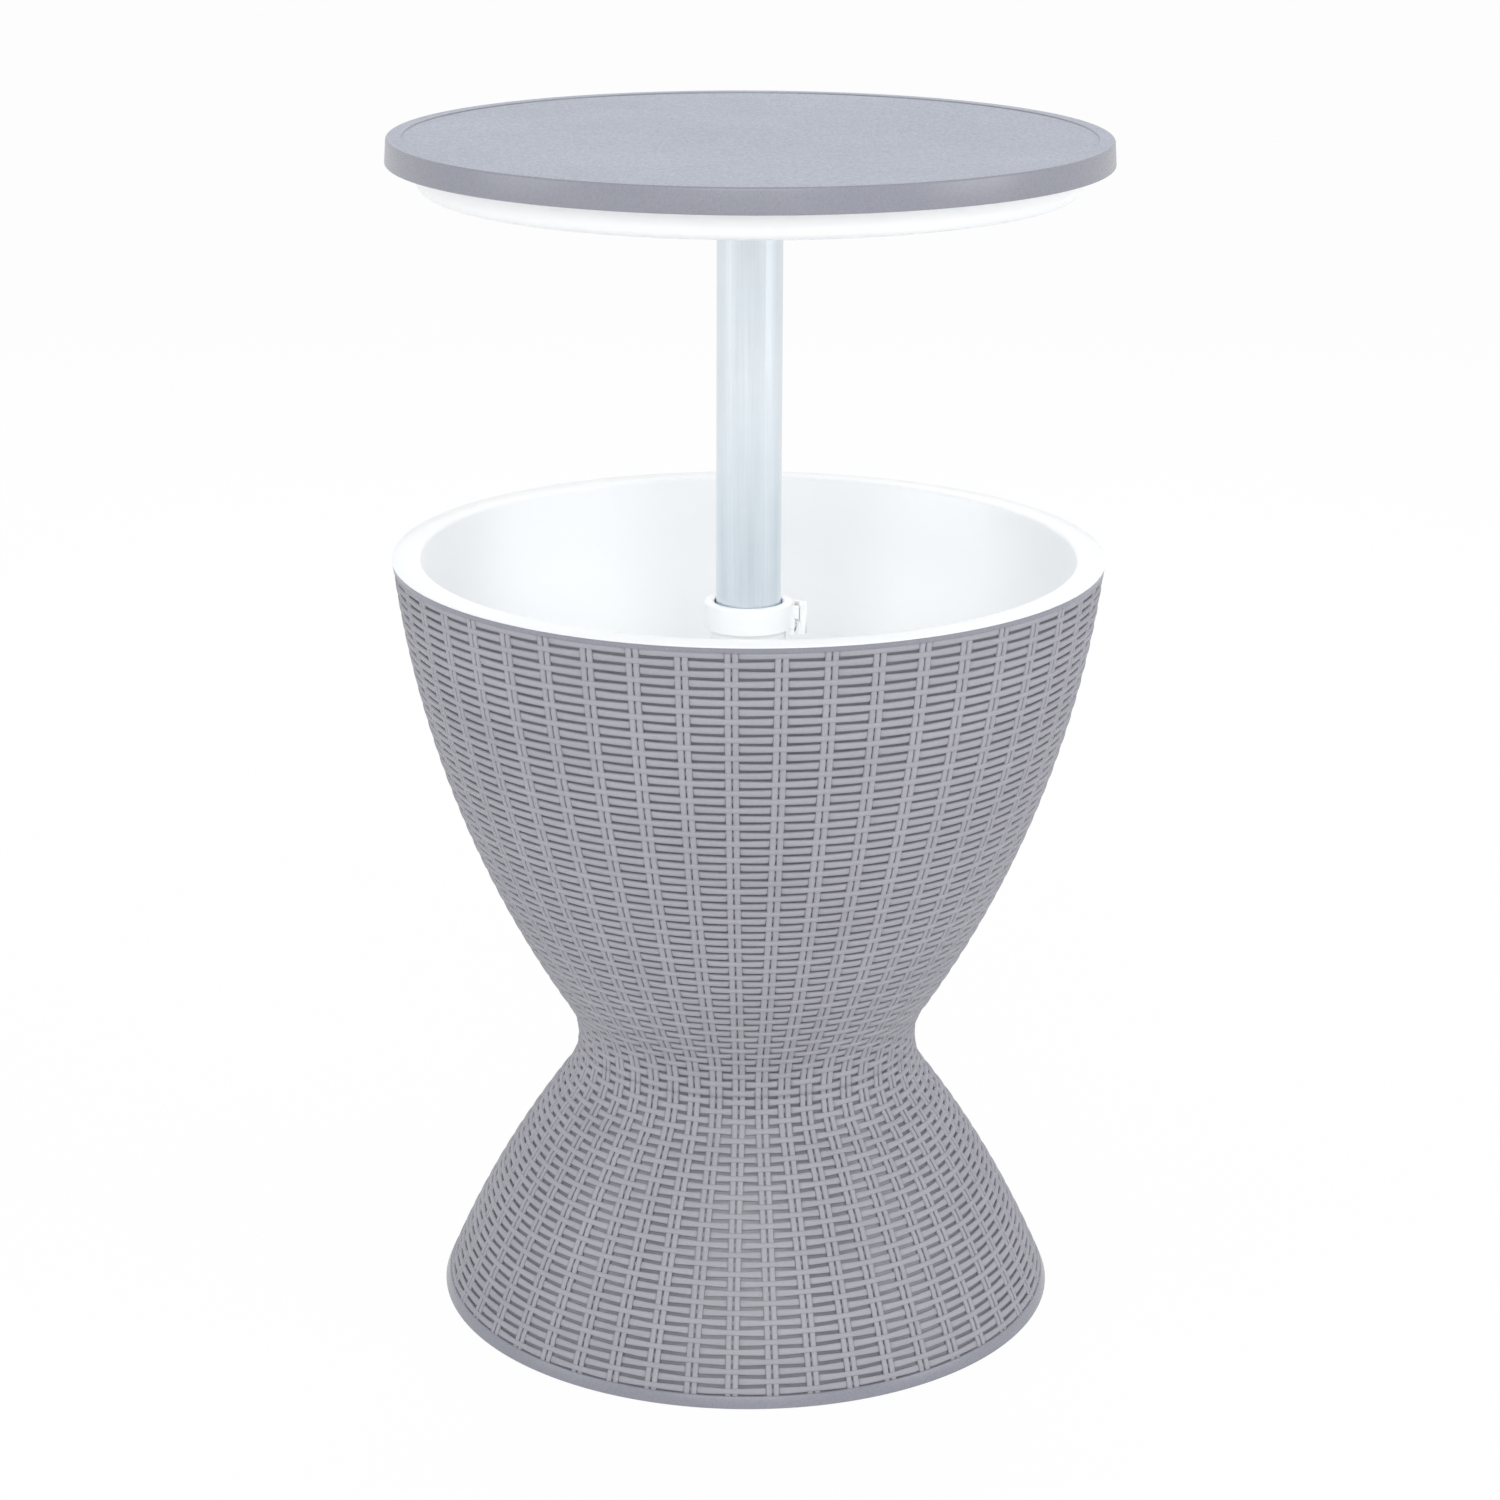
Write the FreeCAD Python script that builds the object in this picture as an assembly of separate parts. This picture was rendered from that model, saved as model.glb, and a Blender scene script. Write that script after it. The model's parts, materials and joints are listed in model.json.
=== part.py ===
import FreeCAD, Part
import os
from math import cos, pi, radians, sin, sqrt, tan

Vector = FreeCAD.Vector

# Round cooler table, in millimetres. +Z is up, the ground is at z = 0, and the pole stands on the Z axis.
# The photographed front faces -Y. The top is shown raised, as it stands in use.

# Outline of the woven shell, from the ground to the mouth: two long curves joined by the waist's curve
foot_radius = 223.7
foot_curve_radius = 720.0
waist_radius = 123.1
waist_height = 192.0
waist_curve_radius = 55.7
body_curve_radius = 752.5
mouth_radius = 249.4
mouth_height = 552.4

# Woven shell, moulded in two halves that meet just below the waist
weave_depth = 2.4
shell_wall = 2.6
stake_pairs = 48
stake_pair_width = 8.8
stake_height = 1.8
first_stake_turn = -2.25
foot_band = 8.0
rim_band = 3.7
seam_height = 187.5
waist_floor = 4.0
spigot_radius = 70.0
spigot_wall = 3.5
spigot_rise = 3.0

# Screws that join the two halves
waist_screw_count = 6
waist_screw_circle = 95.0
waist_screw_radius = 2.4
waist_boss_radius = 7.0
waist_boss_height = 14.5
screw_tip_gap = 2.0

# Bucket
bucket_wall = 3.0
bucket_floor = 262.0
lip_width = 19.9
lip_edge_height = 1.0
lip_overhang = 0.1
lip_rounding = 0.4
bucket_edge_rounding = 2.5
bucket_corner = 12.0
foam_thickness = 6.0
foam_below_floor = 19.0

# Top of the table, raised
lift_travel = 273.1
closed_gap = 0.3
top_inset = 1.9
top_height = 17.2
top_draft = 1.2
top_wall = 3.2
top_border = 18.5
top_recess = 0.9
top_rounding = 2.6
step_bevel = 0.5
hem_bevel = 0.8
lid_screw_count = 6
lid_screw_turn = 30.0
lid_screw_inset = 32.5
lid_screw_radius = 2.0
lid_screw_grip = 14.0
lid_boss_radius = 6.5
boss_roof = 3.0

# Dish below the top
dish_clearance = 2.0
dish_depth = 19.7
dish_wall = 3.0
dish_corner = 11.0
dish_flange_recess = 0.8
dish_bevel = 1.0
lid_foam_thickness = 14.0

# Pole, its foot and its socket
pole_radius = 22.8
pole_wall = 1.6
pole_grip = 35.0
foot_plug_length = 30.0
foot_plug_wall = 3.0
foot_shoulder_height = 8.0
foot_pin_radius = 2.0
foot_pin_drop = 10.0
plug_bevel = 1.0
socket_wall = 4.2
socket_lip = 12.3
socket_bevel = 1.0
socket_skirt = 3.0
socket_flare = 5.0
socket_flange_radius = 52.0
socket_flange_thickness = 4.0
socket_roof = 3.0
socket_pin_radius = 2.5
socket_pin_drop = 11.7
socket_screw_count = 4
socket_screw_turn = 45.0
socket_screw_circle = 41.0
socket_screw_radius = 2.3
socket_screw_grip = 16.0
socket_boss_radius = 6.5

# Column in the bucket, with the captive bush that the pole slides in
bush_wall = 1.4
bush_length = 78.0
bush_flange_thickness = 1.8
bush_flange_width = 2.1
column_wall = 2.2
column_flange_radius = 40.0
column_flange_thickness = 4.0
column_tail = 9.0
flange_rounding = 1.5
washer_thickness = 1.5
column_nut_radius = 37.0
column_nut_height = 10.0
column_nut_ribs = 8
nut_rib_width = 6.0
nut_rib_rise = 2.0

# Lock collar, with the ears of its lever
collar_radius = 31.0
collar_height = 18.5
collar_above_mouth = -35.4
collar_hole_radius = 24.4
collar_shoulder = 8.5
collar_bevel = 1.2
hole_bevel = 0.8
lug_root = 2.5
lug_width = 17.5
lug_drop = 2.6
lug_below_collar = 4.7
lug_face = 32.4
lug_outer = 41.2
plate_rounding = 1.6
ear_thickness = 3.0
ear_reach = 35.6
ear_below_pin = 1.6
pin_distance = 33.8
pin_drop = 12.2
pin_radius = 1.2
hub_radius = 2.1
lever_slot = 2.8
lever_gap = 0.4
lever_top_gap = 0.2
lever_swing = 7.0
web_height = 2.4
arm_width = 8.4
arm_height = 3.2
arm_rise = 4.0
shoe_thickness = 3.1
collar_screw_spread = 50.0
collar_screw_radius = 1.5
collar_screw_head = 1.5
leaf_thickness = 0.4
leaf_bow = 1.2
leaf_margin = 0.5

# Drain in the bucket's floor, behind the column
drain_offset = 85.0
drain_bore = 7.5
drain_wall = 2.5
drain_flange_radius = 17.0
drain_flange_thickness = 2.5
drain_washer_thickness = 1.2
drain_nut_height = 6.0
drain_nut_sides = 6
drain_end_height = 165.0
drain_bevel = 1.0
drain_mouth_bevel = 0.6
plug_length = 15.0
plug_head_radius = 13.0
plug_head_thickness = 2.5
plug_tab_width = 16.0
plug_tab_height = 14.0
plug_tab_thickness = 3.0
plug_ring_section = 0.8
plug_ring_above_tip = 2.6
plug_ring_sides = 8

# Edges rounded by less than this are cut as plain bevels
bevel_limit = 2.2

# Share of an edge that the rounding at one of its ends may take, alone or with one at the other end
lone_corner_share = 0.95
shared_corner_share = 0.48

# Screw heads, as shares of the shank's radius
head_radius_share = 2.0
head_height_share = 1.2
head_bevel_share = 0.6

# How far parts of one solid run into each other, and cutters run past what they cut
weld = 1.0

# Clearances
press_gap = 0.01
running_fit = 0.05
loose_fit = 0.3
foam_gap = 0.3
pass_gap = 0.3

# Heights and radii that follow from the sizes above
shell_top = mouth_height - lip_edge_height
bucket_bore = mouth_radius - lip_width
top_radius = mouth_radius - top_inset
top_base = mouth_height + closed_gap + lift_travel
top_face = top_base + top_height
top_underside = top_face - top_recess - top_wall
dish_radius = bucket_bore - dish_clearance
lid_screw_circle = dish_radius - lid_screw_inset
dish_bottom = top_base - dish_depth
bush_bore = pole_radius + running_fit
bush_outer = bush_bore + bush_wall
column_bore = bush_outer + running_fit
column_outer = column_bore + column_wall
collar_top = mouth_height + collar_above_mouth
collar_base = collar_top - collar_height
bush_top = collar_top - collar_shoulder - 2 * running_fit
bush_bottom = bush_top - bush_length
column_top = bush_top - bush_flange_thickness - 2 * running_fit
pole_base = bush_bottom - pass_gap
pole_top = dish_bottom - socket_lip + pole_grip
column_end = pole_base - foot_shoulder_height - lift_travel - column_tail
pin_height = collar_top - pin_drop
lug_top = collar_top - lug_drop
lug_base = collar_base - lug_below_collar
lever_step = pin_height - ear_below_pin - loose_fit
bucket_inset = weave_depth + shell_wall + foam_thickness
drain_outer = drain_bore + drain_wall


def edge(first, second):
    return Part.LineSegment(Vector(first[0], 0, first[1]), Vector(second[0], 0, second[1])).toShape()


def rounded_corner(before, corner, after, rounding):
    # Start, middle and end of the arc that rounds a corner, each as (radius, height)
    back = Vector(before[0] - corner[0], 0, before[1] - corner[1])
    ahead = Vector(after[0] - corner[0], 0, after[1] - corner[1])
    half_turn = back.getAngle(ahead) / 2
    share = lone_corner_share if len(before) == len(after) == 2 else shared_corner_share
    limit = share * min(back.Length, ahead.Length) * tan(half_turn)
    rounding = min(rounding, limit)
    reach = rounding / tan(half_turn)
    middle_reach = rounding / sin(half_turn) - rounding
    back.normalize()
    ahead.normalize()
    bisector = back + ahead
    bisector.normalize()
    point = Vector(corner[0], 0, corner[1])
    ends = (point + back * reach, point + bisector * middle_reach, point + ahead * reach)
    return [(end.x, end.z) for end in ends]


def closed_outline(corners):
    # Face in the XZ plane from corners given as (radius, height) or (radius, height, rounding)
    edges = []
    stops = []
    for index, corner in enumerate(corners):
        before = corners[index - 1]
        after = corners[(index + 1) % len(corners)]
        if len(corner) == 3:
            start, middle, end = rounded_corner(before, corner, after, corner[2])
            if corner[2] < bevel_limit:
                edges.append(edge(start, end))
            else:
                points = [Vector(r, 0, z) for r, z in (start, middle, end)]
                edges.append(Part.Arc(*points).toShape())
            stops.append((start, end))
        else:
            stops.append((corner, corner))
    for (_, leave), (arrive, _) in zip(stops, stops[1:] + stops[:1]):
        edges.append(edge(leave, arrive))
    return Part.Face(Part.Wire(Part.__sortEdges__(edges)))


def turned(corners):
    return closed_outline(corners).revolve(Vector(0, 0, 0), Vector(0, 0, 1), 360)


def disc(radius, low, high, x=0.0, y=0.0):
    return Part.makeCylinder(radius, high - low, Vector(x, y, low))


def tube(inner, outer, low, high, x=0.0, y=0.0):
    return disc(outer, low, high, x, y).cut(disc(inner, low, high, x, y))


def block(low, high):
    size = [b - a for a, b in zip(low, high)]
    return Part.makeBox(*size, Vector(*low))


def ring_places(count, radius, first_angle=0.0):
    # Points evenly spaced round the axis
    angles = [radians(first_angle + 360 * index / count) for index in range(count)]
    return [(radius * cos(angle), radius * sin(angle)) for angle in angles]


def curve_centre(end_radius, end_height, radius):
    # Centre of a long curve that ends at a point and meets the waist's curve smoothly
    across = waist_radius + waist_curve_radius - end_radius
    up = waist_height - end_height
    reach = sqrt(across ** 2 + up ** 2)
    along = (radius ** 2 - (radius + waist_curve_radius) ** 2 + reach ** 2) / (2 * reach)
    aside = sqrt(radius ** 2 - along ** 2)
    middle = (end_radius + along * across / reach, end_height + along * up / reach)
    turn = (-aside * up / reach, aside * across / reach)
    return min((middle[0] + sign * turn[0], middle[1] + sign * turn[1]) for sign in (-1, 1))


foot_centre = curve_centre(foot_radius, 0.0, foot_curve_radius)
body_centre = curve_centre(mouth_radius, mouth_height, body_curve_radius)


def curve_joins(inset):
    # Heights where the waist's curve meets the long curves, on an outline inset squarely
    lower = (foot_centre[1] - waist_height) / (foot_curve_radius + waist_curve_radius)
    upper = (body_centre[1] - waist_height) / (body_curve_radius + waist_curve_radius)
    reach = waist_curve_radius + inset
    return waist_height + lower * reach, waist_height + upper * reach


def shell_radius(height, inset=0.0):
    lower_join, upper_join = curve_joins(inset)
    if height < lower_join:
        radius = foot_curve_radius - inset
        return foot_centre[0] + sqrt(radius ** 2 - (height - foot_centre[1]) ** 2)
    if height > upper_join:
        radius = body_curve_radius - inset
        return body_centre[0] + sqrt(radius ** 2 - (height - body_centre[1]) ** 2)
    radius = waist_curve_radius + inset
    return waist_radius + waist_curve_radius - sqrt(radius ** 2 - (height - waist_height) ** 2)


def shell_form(inset, low, high):
    # Solid of revolution inside the shell's outline, between two heights
    heights = [low] + [join for join in curve_joins(inset) if low < join < high] + [high]
    edges = []
    for start, end in zip(heights, heights[1:]):
        points = [Vector(shell_radius(z, inset), 0, z) for z in (start, (start + end) / 2, end)]
        edges.append(Part.Arc(*points).toShape())
    edges.append(edge((shell_radius(high, inset), high), (0, high)))
    edges.append(edge((0, high), (0, low)))
    edges.append(edge((0, low), (shell_radius(low, inset), low)))
    face = Part.Face(Part.Wire(Part.__sortEdges__(edges)))
    return face.revolve(Vector(0, 0, 0), Vector(0, 0, 1), 360)


def pan_screw(radius, length, x, y, height):
    # Screw whose head's seat is at the given height, with its shank pointing up
    head_radius = head_radius_share * radius
    head_height = head_height_share * radius
    bevel = head_bevel_share * radius
    screw = turned([(0, -head_height), (head_radius, -head_height, bevel), (head_radius, 0),
                    (radius, 0), (radius, length), (0, length)])
    screw.translate(Vector(x, y, height))
    return screw


def stake_ribs(low, high):
    # The weave's upright stakes, each pair as one flat rib that follows the outline between two heights
    outer = weave_depth - stake_height
    root = weave_depth + shell_wall / 2
    band = shell_form(outer, low, high).cut(shell_form(root, low, high))
    nearest = waist_radius - root - weld
    farthest = max(foot_radius, mouth_radius)
    slabs = []
    for index in range(stake_pairs):
        slab = block((nearest, -stake_pair_width / 2, low), (farthest, stake_pair_width / 2, high))
        turn = first_stake_turn - 90 + 360 * index / stake_pairs
        slab.rotate(Vector(0, 0, 0), Vector(0, 0, 1), turn)
        slabs.append(slab)
    return band.common(Part.makeCompound(slabs)).Solids


def make_upper_shell():
    shell = shell_form(weave_depth, seam_height, shell_top)
    shell = shell.fuse(shell_form(0.0, shell_top - rim_band, shell_top))
    shell = shell.cut(shell_form(weave_depth + shell_wall, seam_height + waist_floor, shell_top))
    shell = shell.fuse(stake_ribs(seam_height, shell_top - rim_band))
    shell = shell.cut(disc(spigot_radius + loose_fit, seam_height, seam_height + waist_floor))
    boss_top = seam_height + waist_floor + waist_boss_height
    for x, y in ring_places(waist_screw_count, waist_screw_circle):
        shell = shell.fuse(disc(waist_boss_radius, seam_height + waist_floor, boss_top, x, y))
        shell = shell.cut(disc(waist_screw_radius + running_fit, seam_height, boss_top, x, y))
    drain_hole = disc(drain_outer + loose_fit, seam_height, seam_height + waist_floor, 0, drain_offset)
    return shell.cut(drain_hole).removeSplitter()


def make_base_shell():
    plate_base = seam_height - waist_floor
    shell = shell_form(weave_depth, 0.0, seam_height)
    shell = shell.fuse(shell_form(0.0, 0.0, foot_band))
    shell = shell.cut(shell_form(weave_depth + shell_wall, 0.0, plate_base))
    shell = shell.fuse(stake_ribs(foot_band, seam_height))
    spigot_top = seam_height + waist_floor + spigot_rise
    shell = shell.fuse(tube(spigot_radius - spigot_wall, spigot_radius, seam_height, spigot_top))
    shell = shell.cut(disc(column_outer + loose_fit, plate_base, seam_height))
    shell = shell.cut(disc(drain_outer + loose_fit, plate_base, seam_height, 0, drain_offset))
    for x, y in ring_places(waist_screw_count, waist_screw_circle):
        shell = shell.cut(disc(waist_screw_radius + loose_fit, plate_base, seam_height, x, y))
    return shell.removeSplitter()


def make_waist_screws():
    length = 2 * waist_floor + waist_boss_height - screw_tip_gap
    places = ring_places(waist_screw_count, waist_screw_circle)
    return [pan_screw(waist_screw_radius, length, x, y, seam_height - waist_floor) for x, y in places]


def bucket_form(grow, low):
    # Space that the bucket's wall encloses, from a height to the mouth, grown squarely outwards
    inset = bucket_inset + bucket_wall - grow
    body = shell_form(inset, low, mouth_height)
    return body.common(disc(bucket_bore + grow, low, mouth_height))


def round_floor_edge(shape, height, rounding):
    # Round the edge between the wall and the floor of a cup's form
    edges = [e for e in shape.Edges if e.BoundBox.ZLength < 1e-6 and abs(e.BoundBox.ZMin - height) < 1e-6]
    return shape.makeFillet(rounding, edges)


def make_bucket():
    outer_floor = bucket_floor - bucket_wall
    lip_radius = mouth_radius + lip_overhang
    outside = bucket_form(bucket_wall, outer_floor)
    outside = round_floor_edge(outside, outer_floor, bucket_corner + bucket_wall)
    lip_base = mouth_height - bucket_wall
    seat_radius = shell_radius(lip_base, weave_depth + shell_wall) - loose_fit
    lip = turned([(bucket_bore, lip_base), (seat_radius, lip_base),
                  (seat_radius, shell_top), (lip_radius, shell_top),
                  (lip_radius, mouth_height, lip_rounding), (bucket_bore, mouth_height)])
    inside = round_floor_edge(bucket_form(0.0, bucket_floor), bucket_floor, bucket_corner)
    bucket = outside.fuse(lip).cut(inside)
    bucket = bucket.cut(mouth_edge_cutter())
    bucket = bucket.cut(disc(column_outer + loose_fit, outer_floor, bucket_floor))
    bucket = bucket.cut(disc(drain_outer + loose_fit, outer_floor, bucket_floor, 0, drain_offset))
    return bucket.removeSplitter()


def mouth_edge_cutter():
    # Takes the sharp edge off the mouth, leaving a quarter round
    size = bucket_edge_rounding
    centre = Vector(bucket_bore + size, 0, mouth_height - size)
    turn = cos(pi / 4) * size
    arc = Part.Arc(Vector(bucket_bore, 0, centre.z), Vector(centre.x - turn, 0, centre.z + turn),
                   Vector(centre.x, 0, mouth_height)).toShape()
    corner = (bucket_bore - weld, mouth_height + weld)
    stops = [(centre.x, mouth_height), (centre.x, corner[1]), corner, (corner[0], centre.z),
             (bucket_bore, centre.z)]
    edges = [arc] + [edge(start, end) for start, end in zip(stops, stops[1:])]
    face = Part.Face(Part.Wire(Part.__sortEdges__(edges)))
    return face.revolve(Vector(0, 0, 0), Vector(0, 0, 1), 360)


def make_bucket_insulation():
    outer_floor = bucket_floor - bucket_wall
    foam_base = outer_floor - foam_below_floor
    foam_top = mouth_height - bucket_wall - foam_gap
    foam = shell_form(weave_depth + shell_wall + foam_gap, foam_base, foam_top)
    hollow = bucket_form(bucket_wall + foam_gap, outer_floor - foam_gap)
    hollow = round_floor_edge(hollow, outer_floor - foam_gap, bucket_corner + bucket_wall)
    foam = foam.cut(hollow)
    foam = foam.cut(disc(column_flange_radius + loose_fit, foam_base, outer_floor))
    return foam.cut(disc(drain_flange_radius + 2 * loose_fit, foam_base, outer_floor, 0, drain_offset))


def make_centre_column():
    flange_base = bucket_floor + washer_thickness
    flange_top = flange_base + column_flange_thickness
    column = turned([(column_bore, column_end), (column_outer, column_end), (column_outer, flange_base),
                     (column_flange_radius, flange_base),
                     (column_flange_radius, flange_top, flange_rounding),
                     (column_outer, flange_top, flange_rounding), (column_outer, column_top),
                     (column_bore, column_top)])
    return column.cut(collar_screw_shapes(running_fit))


def make_column_seal():
    top = bucket_floor + washer_thickness
    return tube(column_outer + running_fit, column_flange_radius, bucket_floor, top)


def make_column_nut():
    nut_top = bucket_floor - bucket_wall
    nut_base = nut_top - column_nut_height
    nut = disc(column_nut_radius - nut_rib_rise, nut_base, nut_top)
    half_rib = nut_rib_width / 2
    rib = block((0, -half_rib, nut_base), (column_nut_radius, half_rib, nut_top))
    for index in range(column_nut_ribs):
        turned_rib = rib.copy()
        turned_rib.rotate(Vector(0, 0, 0), Vector(0, 0, 1), 360 * index / column_nut_ribs)
        nut = nut.fuse(turned_rib)
    return nut.cut(disc(column_outer + running_fit, nut_base, nut_top)).removeSplitter()


def make_guide_bush():
    flange_radius = bush_outer + bush_flange_width
    flange_base = bush_top - bush_flange_thickness
    return turned([(bush_bore, bush_bottom), (bush_outer, bush_bottom), (bush_outer, flange_base),
                   (flange_radius, flange_base), (flange_radius, bush_top), (bush_bore, bush_top)])


def arm_window():
    # Opening in the collar's wall that the lever's arm rocks in
    half_width = arm_width / 2 + loose_fit
    swing_rise = (pin_distance - pole_radius) * sin(radians(lever_swing))
    low = pin_height + arm_rise - loose_fit
    high = pin_height + arm_rise + arm_height + swing_rise + loose_fit
    return block((collar_hole_radius - weld, -half_width, low), (ear_reach + weld, half_width, high))


def make_lock_collar():
    shoulder = collar_top - collar_shoulder
    counterbore = column_outer + 2 * running_fit
    half = lug_width / 2
    collar = turned([(counterbore, collar_base), (collar_radius, collar_base),
                     (collar_radius, collar_top, collar_bevel),
                     (collar_hole_radius, collar_top, hole_bevel),
                     (collar_hole_radius, shoulder), (counterbore, shoulder)])
    lug = block((collar_radius - lug_root, -half, lug_base), (lug_face, half, lug_top))
    for side in (-1, 1):
        outer_y = side * half
        inner_y = side * (half - ear_thickness)
        low = (lug_face - weld, min(outer_y, inner_y), pin_height - ear_below_pin)
        high = (ear_reach, max(outer_y, inner_y), lug_top)
        lug = lug.fuse(block(low, high))
    hub_room = cross_bar(hub_radius + loose_fit, half - ear_thickness)
    collar = collar.fuse(lug).cut([cross_bar(pin_radius, half), hub_room, arm_window()])
    return collar.cut(collar_screw_shapes(running_fit)).removeSplitter()


def collar_screw_shapes(grow=0.0):
    # Flush screws through the collar's back into the column
    height = (collar_base + column_top) / 2
    screws = []
    shank_radius = collar_screw_radius + grow
    head_radius = 2 * collar_screw_radius + grow
    start = column_bore + running_fit
    end = collar_radius - 2 * running_fit + grow
    seat = collar_radius - collar_screw_head
    for side in (-1, 1):
        screw = turned([(0, start), (shank_radius, start), (shank_radius, seat), (head_radius, seat),
                        (head_radius, end), (0, end)])
        screw.rotate(Vector(0, 0, 0), Vector(0, 1, 0), 90)
        screw.rotate(Vector(0, 0, 0), Vector(0, 0, 1), 90 + side * collar_screw_spread / 2)
        screw.translate(Vector(0, 0, height))
        screws.append(screw)
    return screws


def cross_bar(radius, half_length):
    # Round bar on the lever's pivot axis
    start = Vector(pin_distance, -half_length, pin_height)
    return Part.makeCylinder(radius, 2 * half_length, start, Vector(0, 1, 0))


def make_lock_lever():
    half = lug_width / 2
    slot_face = lug_face + lever_slot
    plate_face = ear_reach + lever_gap
    base = lug_base + lever_gap
    plate = block((plate_face, -half, base), (lug_outer, half, lug_top - lever_top_gap))
    upright = [e for e in plate.Edges if e.BoundBox.XMin > lug_outer - 1e-6 and e.BoundBox.YLength < 1e-6]
    plate = plate.makeFillet(plate_rounding, upright)
    plate = plate.fuse(block((slot_face, -half, base), (plate_face + weld, half, lever_step)))
    hub_half = half - ear_thickness - loose_fit
    hub = cross_bar(hub_radius, hub_half)
    web_low = (pin_distance, -hub_half, pin_height - web_height / 2)
    web = block(web_low, (plate_face + weld, hub_half, pin_height + web_height / 2))
    arm_low = pin_height + arm_rise
    arm_start = pole_radius + loose_fit + shoe_thickness
    arm_top = arm_low + arm_height
    arm = block((arm_start, -arm_width / 2, arm_low), (plate_face + weld, arm_width / 2, arm_top))
    lever = plate.fuse([hub, web, arm])
    return lever.cut(cross_bar(pin_radius + running_fit, half)).removeSplitter()


def make_brake_shoe():
    arm_low = pin_height + arm_rise
    face_radius = pole_radius + loose_fit
    near = (face_radius - weld, -arm_width / 2, arm_low)
    far = (face_radius + shoe_thickness, arm_width / 2, arm_low + arm_height)
    return block(near, far).cut(disc(face_radius, arm_low, arm_low + arm_height))


def make_lever_pin():
    return cross_bar(pin_radius - press_gap, lug_width / 2)


def make_lever_spring():
    # Bowed leaf in the slot behind the lever's lower half
    low = lug_base + lever_gap + leaf_margin
    high = lever_step - leaf_margin
    middle = (low + high) / 2
    edges = [edge((lug_face, z), (lug_face + leaf_thickness, z)) for z in (low, high)]
    for x in (lug_face, lug_face + leaf_thickness):
        points = (Vector(x, 0, low), Vector(x + leaf_bow, 0, middle), Vector(x, 0, high))
        edges.append(Part.Arc(*points).toShape())
    leaf = Part.Face(Part.Wire(Part.__sortEdges__(edges))).extrude(Vector(0, arm_width, 0))
    leaf.translate(Vector(0, -arm_width / 2, 0))
    return leaf


def make_table_top():
    upper_radius = top_radius - top_draft
    recess_face = top_face - top_recess
    border_inner = upper_radius - top_border
    top = turned([(0, recess_face), (border_inner, recess_face),
                  (border_inner + top_recess, top_face, step_bevel),
                  (upper_radius, top_face, top_rounding), (top_radius, top_base, hem_bevel),
                  (top_radius - top_wall, top_base), (upper_radius - top_wall, top_underside),
                  (0, top_underside)])
    boss_base = dish_bottom + dish_wall + running_fit
    for x, y in ring_places(lid_screw_count, lid_screw_circle, lid_screw_turn):
        top = top.fuse(disc(lid_boss_radius, boss_base, top_underside, x, y))
        top = top.cut(disc(lid_screw_radius + running_fit, boss_base, top_underside - boss_roof, x, y))
    for x, y in ring_places(socket_screw_count, socket_screw_circle, socket_screw_turn):
        top = top.fuse(disc(socket_boss_radius, boss_base, top_underside, x, y))
        top = top.cut(disc(socket_screw_radius + running_fit, boss_base, top_underside - boss_roof, x, y))
    return top.removeSplitter()


def make_lid_underside():
    flange_base = top_base + dish_flange_recess
    flange_radius = top_radius - top_wall - 2 * loose_fit
    hole = pole_radius + running_fit + socket_wall + pass_gap
    dish = turned([(hole, dish_bottom), (dish_radius, dish_bottom, dish_corner),
                   (dish_radius, flange_base, dish_bevel), (flange_radius, flange_base),
                   (flange_radius, flange_base + dish_wall),
                   (dish_radius - dish_wall, flange_base + dish_wall),
                   (dish_radius - dish_wall, dish_bottom + dish_wall, dish_corner - dish_wall),
                   (hole, dish_bottom + dish_wall)])
    for x, y in ring_places(lid_screw_count, lid_screw_circle, lid_screw_turn):
        dish = dish.cut(disc(lid_screw_radius + loose_fit, dish_bottom, dish_bottom + dish_wall, x, y))
    for x, y in ring_places(socket_screw_count, socket_screw_circle, socket_screw_turn):
        dish = dish.cut(disc(socket_screw_radius + loose_fit, dish_bottom, dish_bottom + dish_wall, x, y))
    return dish


def make_lid_insulation():
    low = dish_bottom + dish_wall + foam_gap
    high = low + lid_foam_thickness
    radius = dish_radius - dish_wall - foam_gap
    hole = pole_radius + running_fit + socket_wall + 2 * pass_gap
    foam = turned([(hole, low), (radius, low, dish_corner), (radius, high), (hole, high)])
    for x, y in ring_places(lid_screw_count, lid_screw_circle, lid_screw_turn):
        foam = foam.cut(disc(lid_boss_radius + foam_gap, low, high, x, y))
    for x, y in ring_places(socket_screw_count, socket_screw_circle, socket_screw_turn):
        foam = foam.cut(disc(socket_boss_radius + foam_gap, low, high, x, y))
    return foam


def make_lid_screws():
    places = ring_places(lid_screw_count, lid_screw_circle, lid_screw_turn)
    length = dish_wall + lid_screw_grip
    return [pan_screw(lid_screw_radius, length, x, y, dish_bottom) for x, y in places]


def make_pole_socket():
    base = dish_bottom - socket_lip
    bore = pole_radius + running_fit
    outer = bore + socket_wall
    flange_base = dish_bottom - socket_flange_thickness
    roof = pole_top + loose_fit
    socket = turned([(bore, base, socket_bevel), (outer + socket_skirt, base, socket_bevel),
                     (outer + socket_flare, flange_base, flange_rounding),
                     (socket_flange_radius, flange_base, flange_rounding),
                     (socket_flange_radius, dish_bottom),
                     (outer, dish_bottom), (outer, roof + socket_roof), (0, roof + socket_roof),
                     (0, roof), (bore, roof)])
    for x, y in ring_places(socket_screw_count, socket_screw_circle, socket_screw_turn):
        socket = socket.cut(disc(socket_screw_radius + loose_fit, flange_base, dish_bottom, x, y))
    return socket.cut(socket_pin_shape(running_fit))


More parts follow.
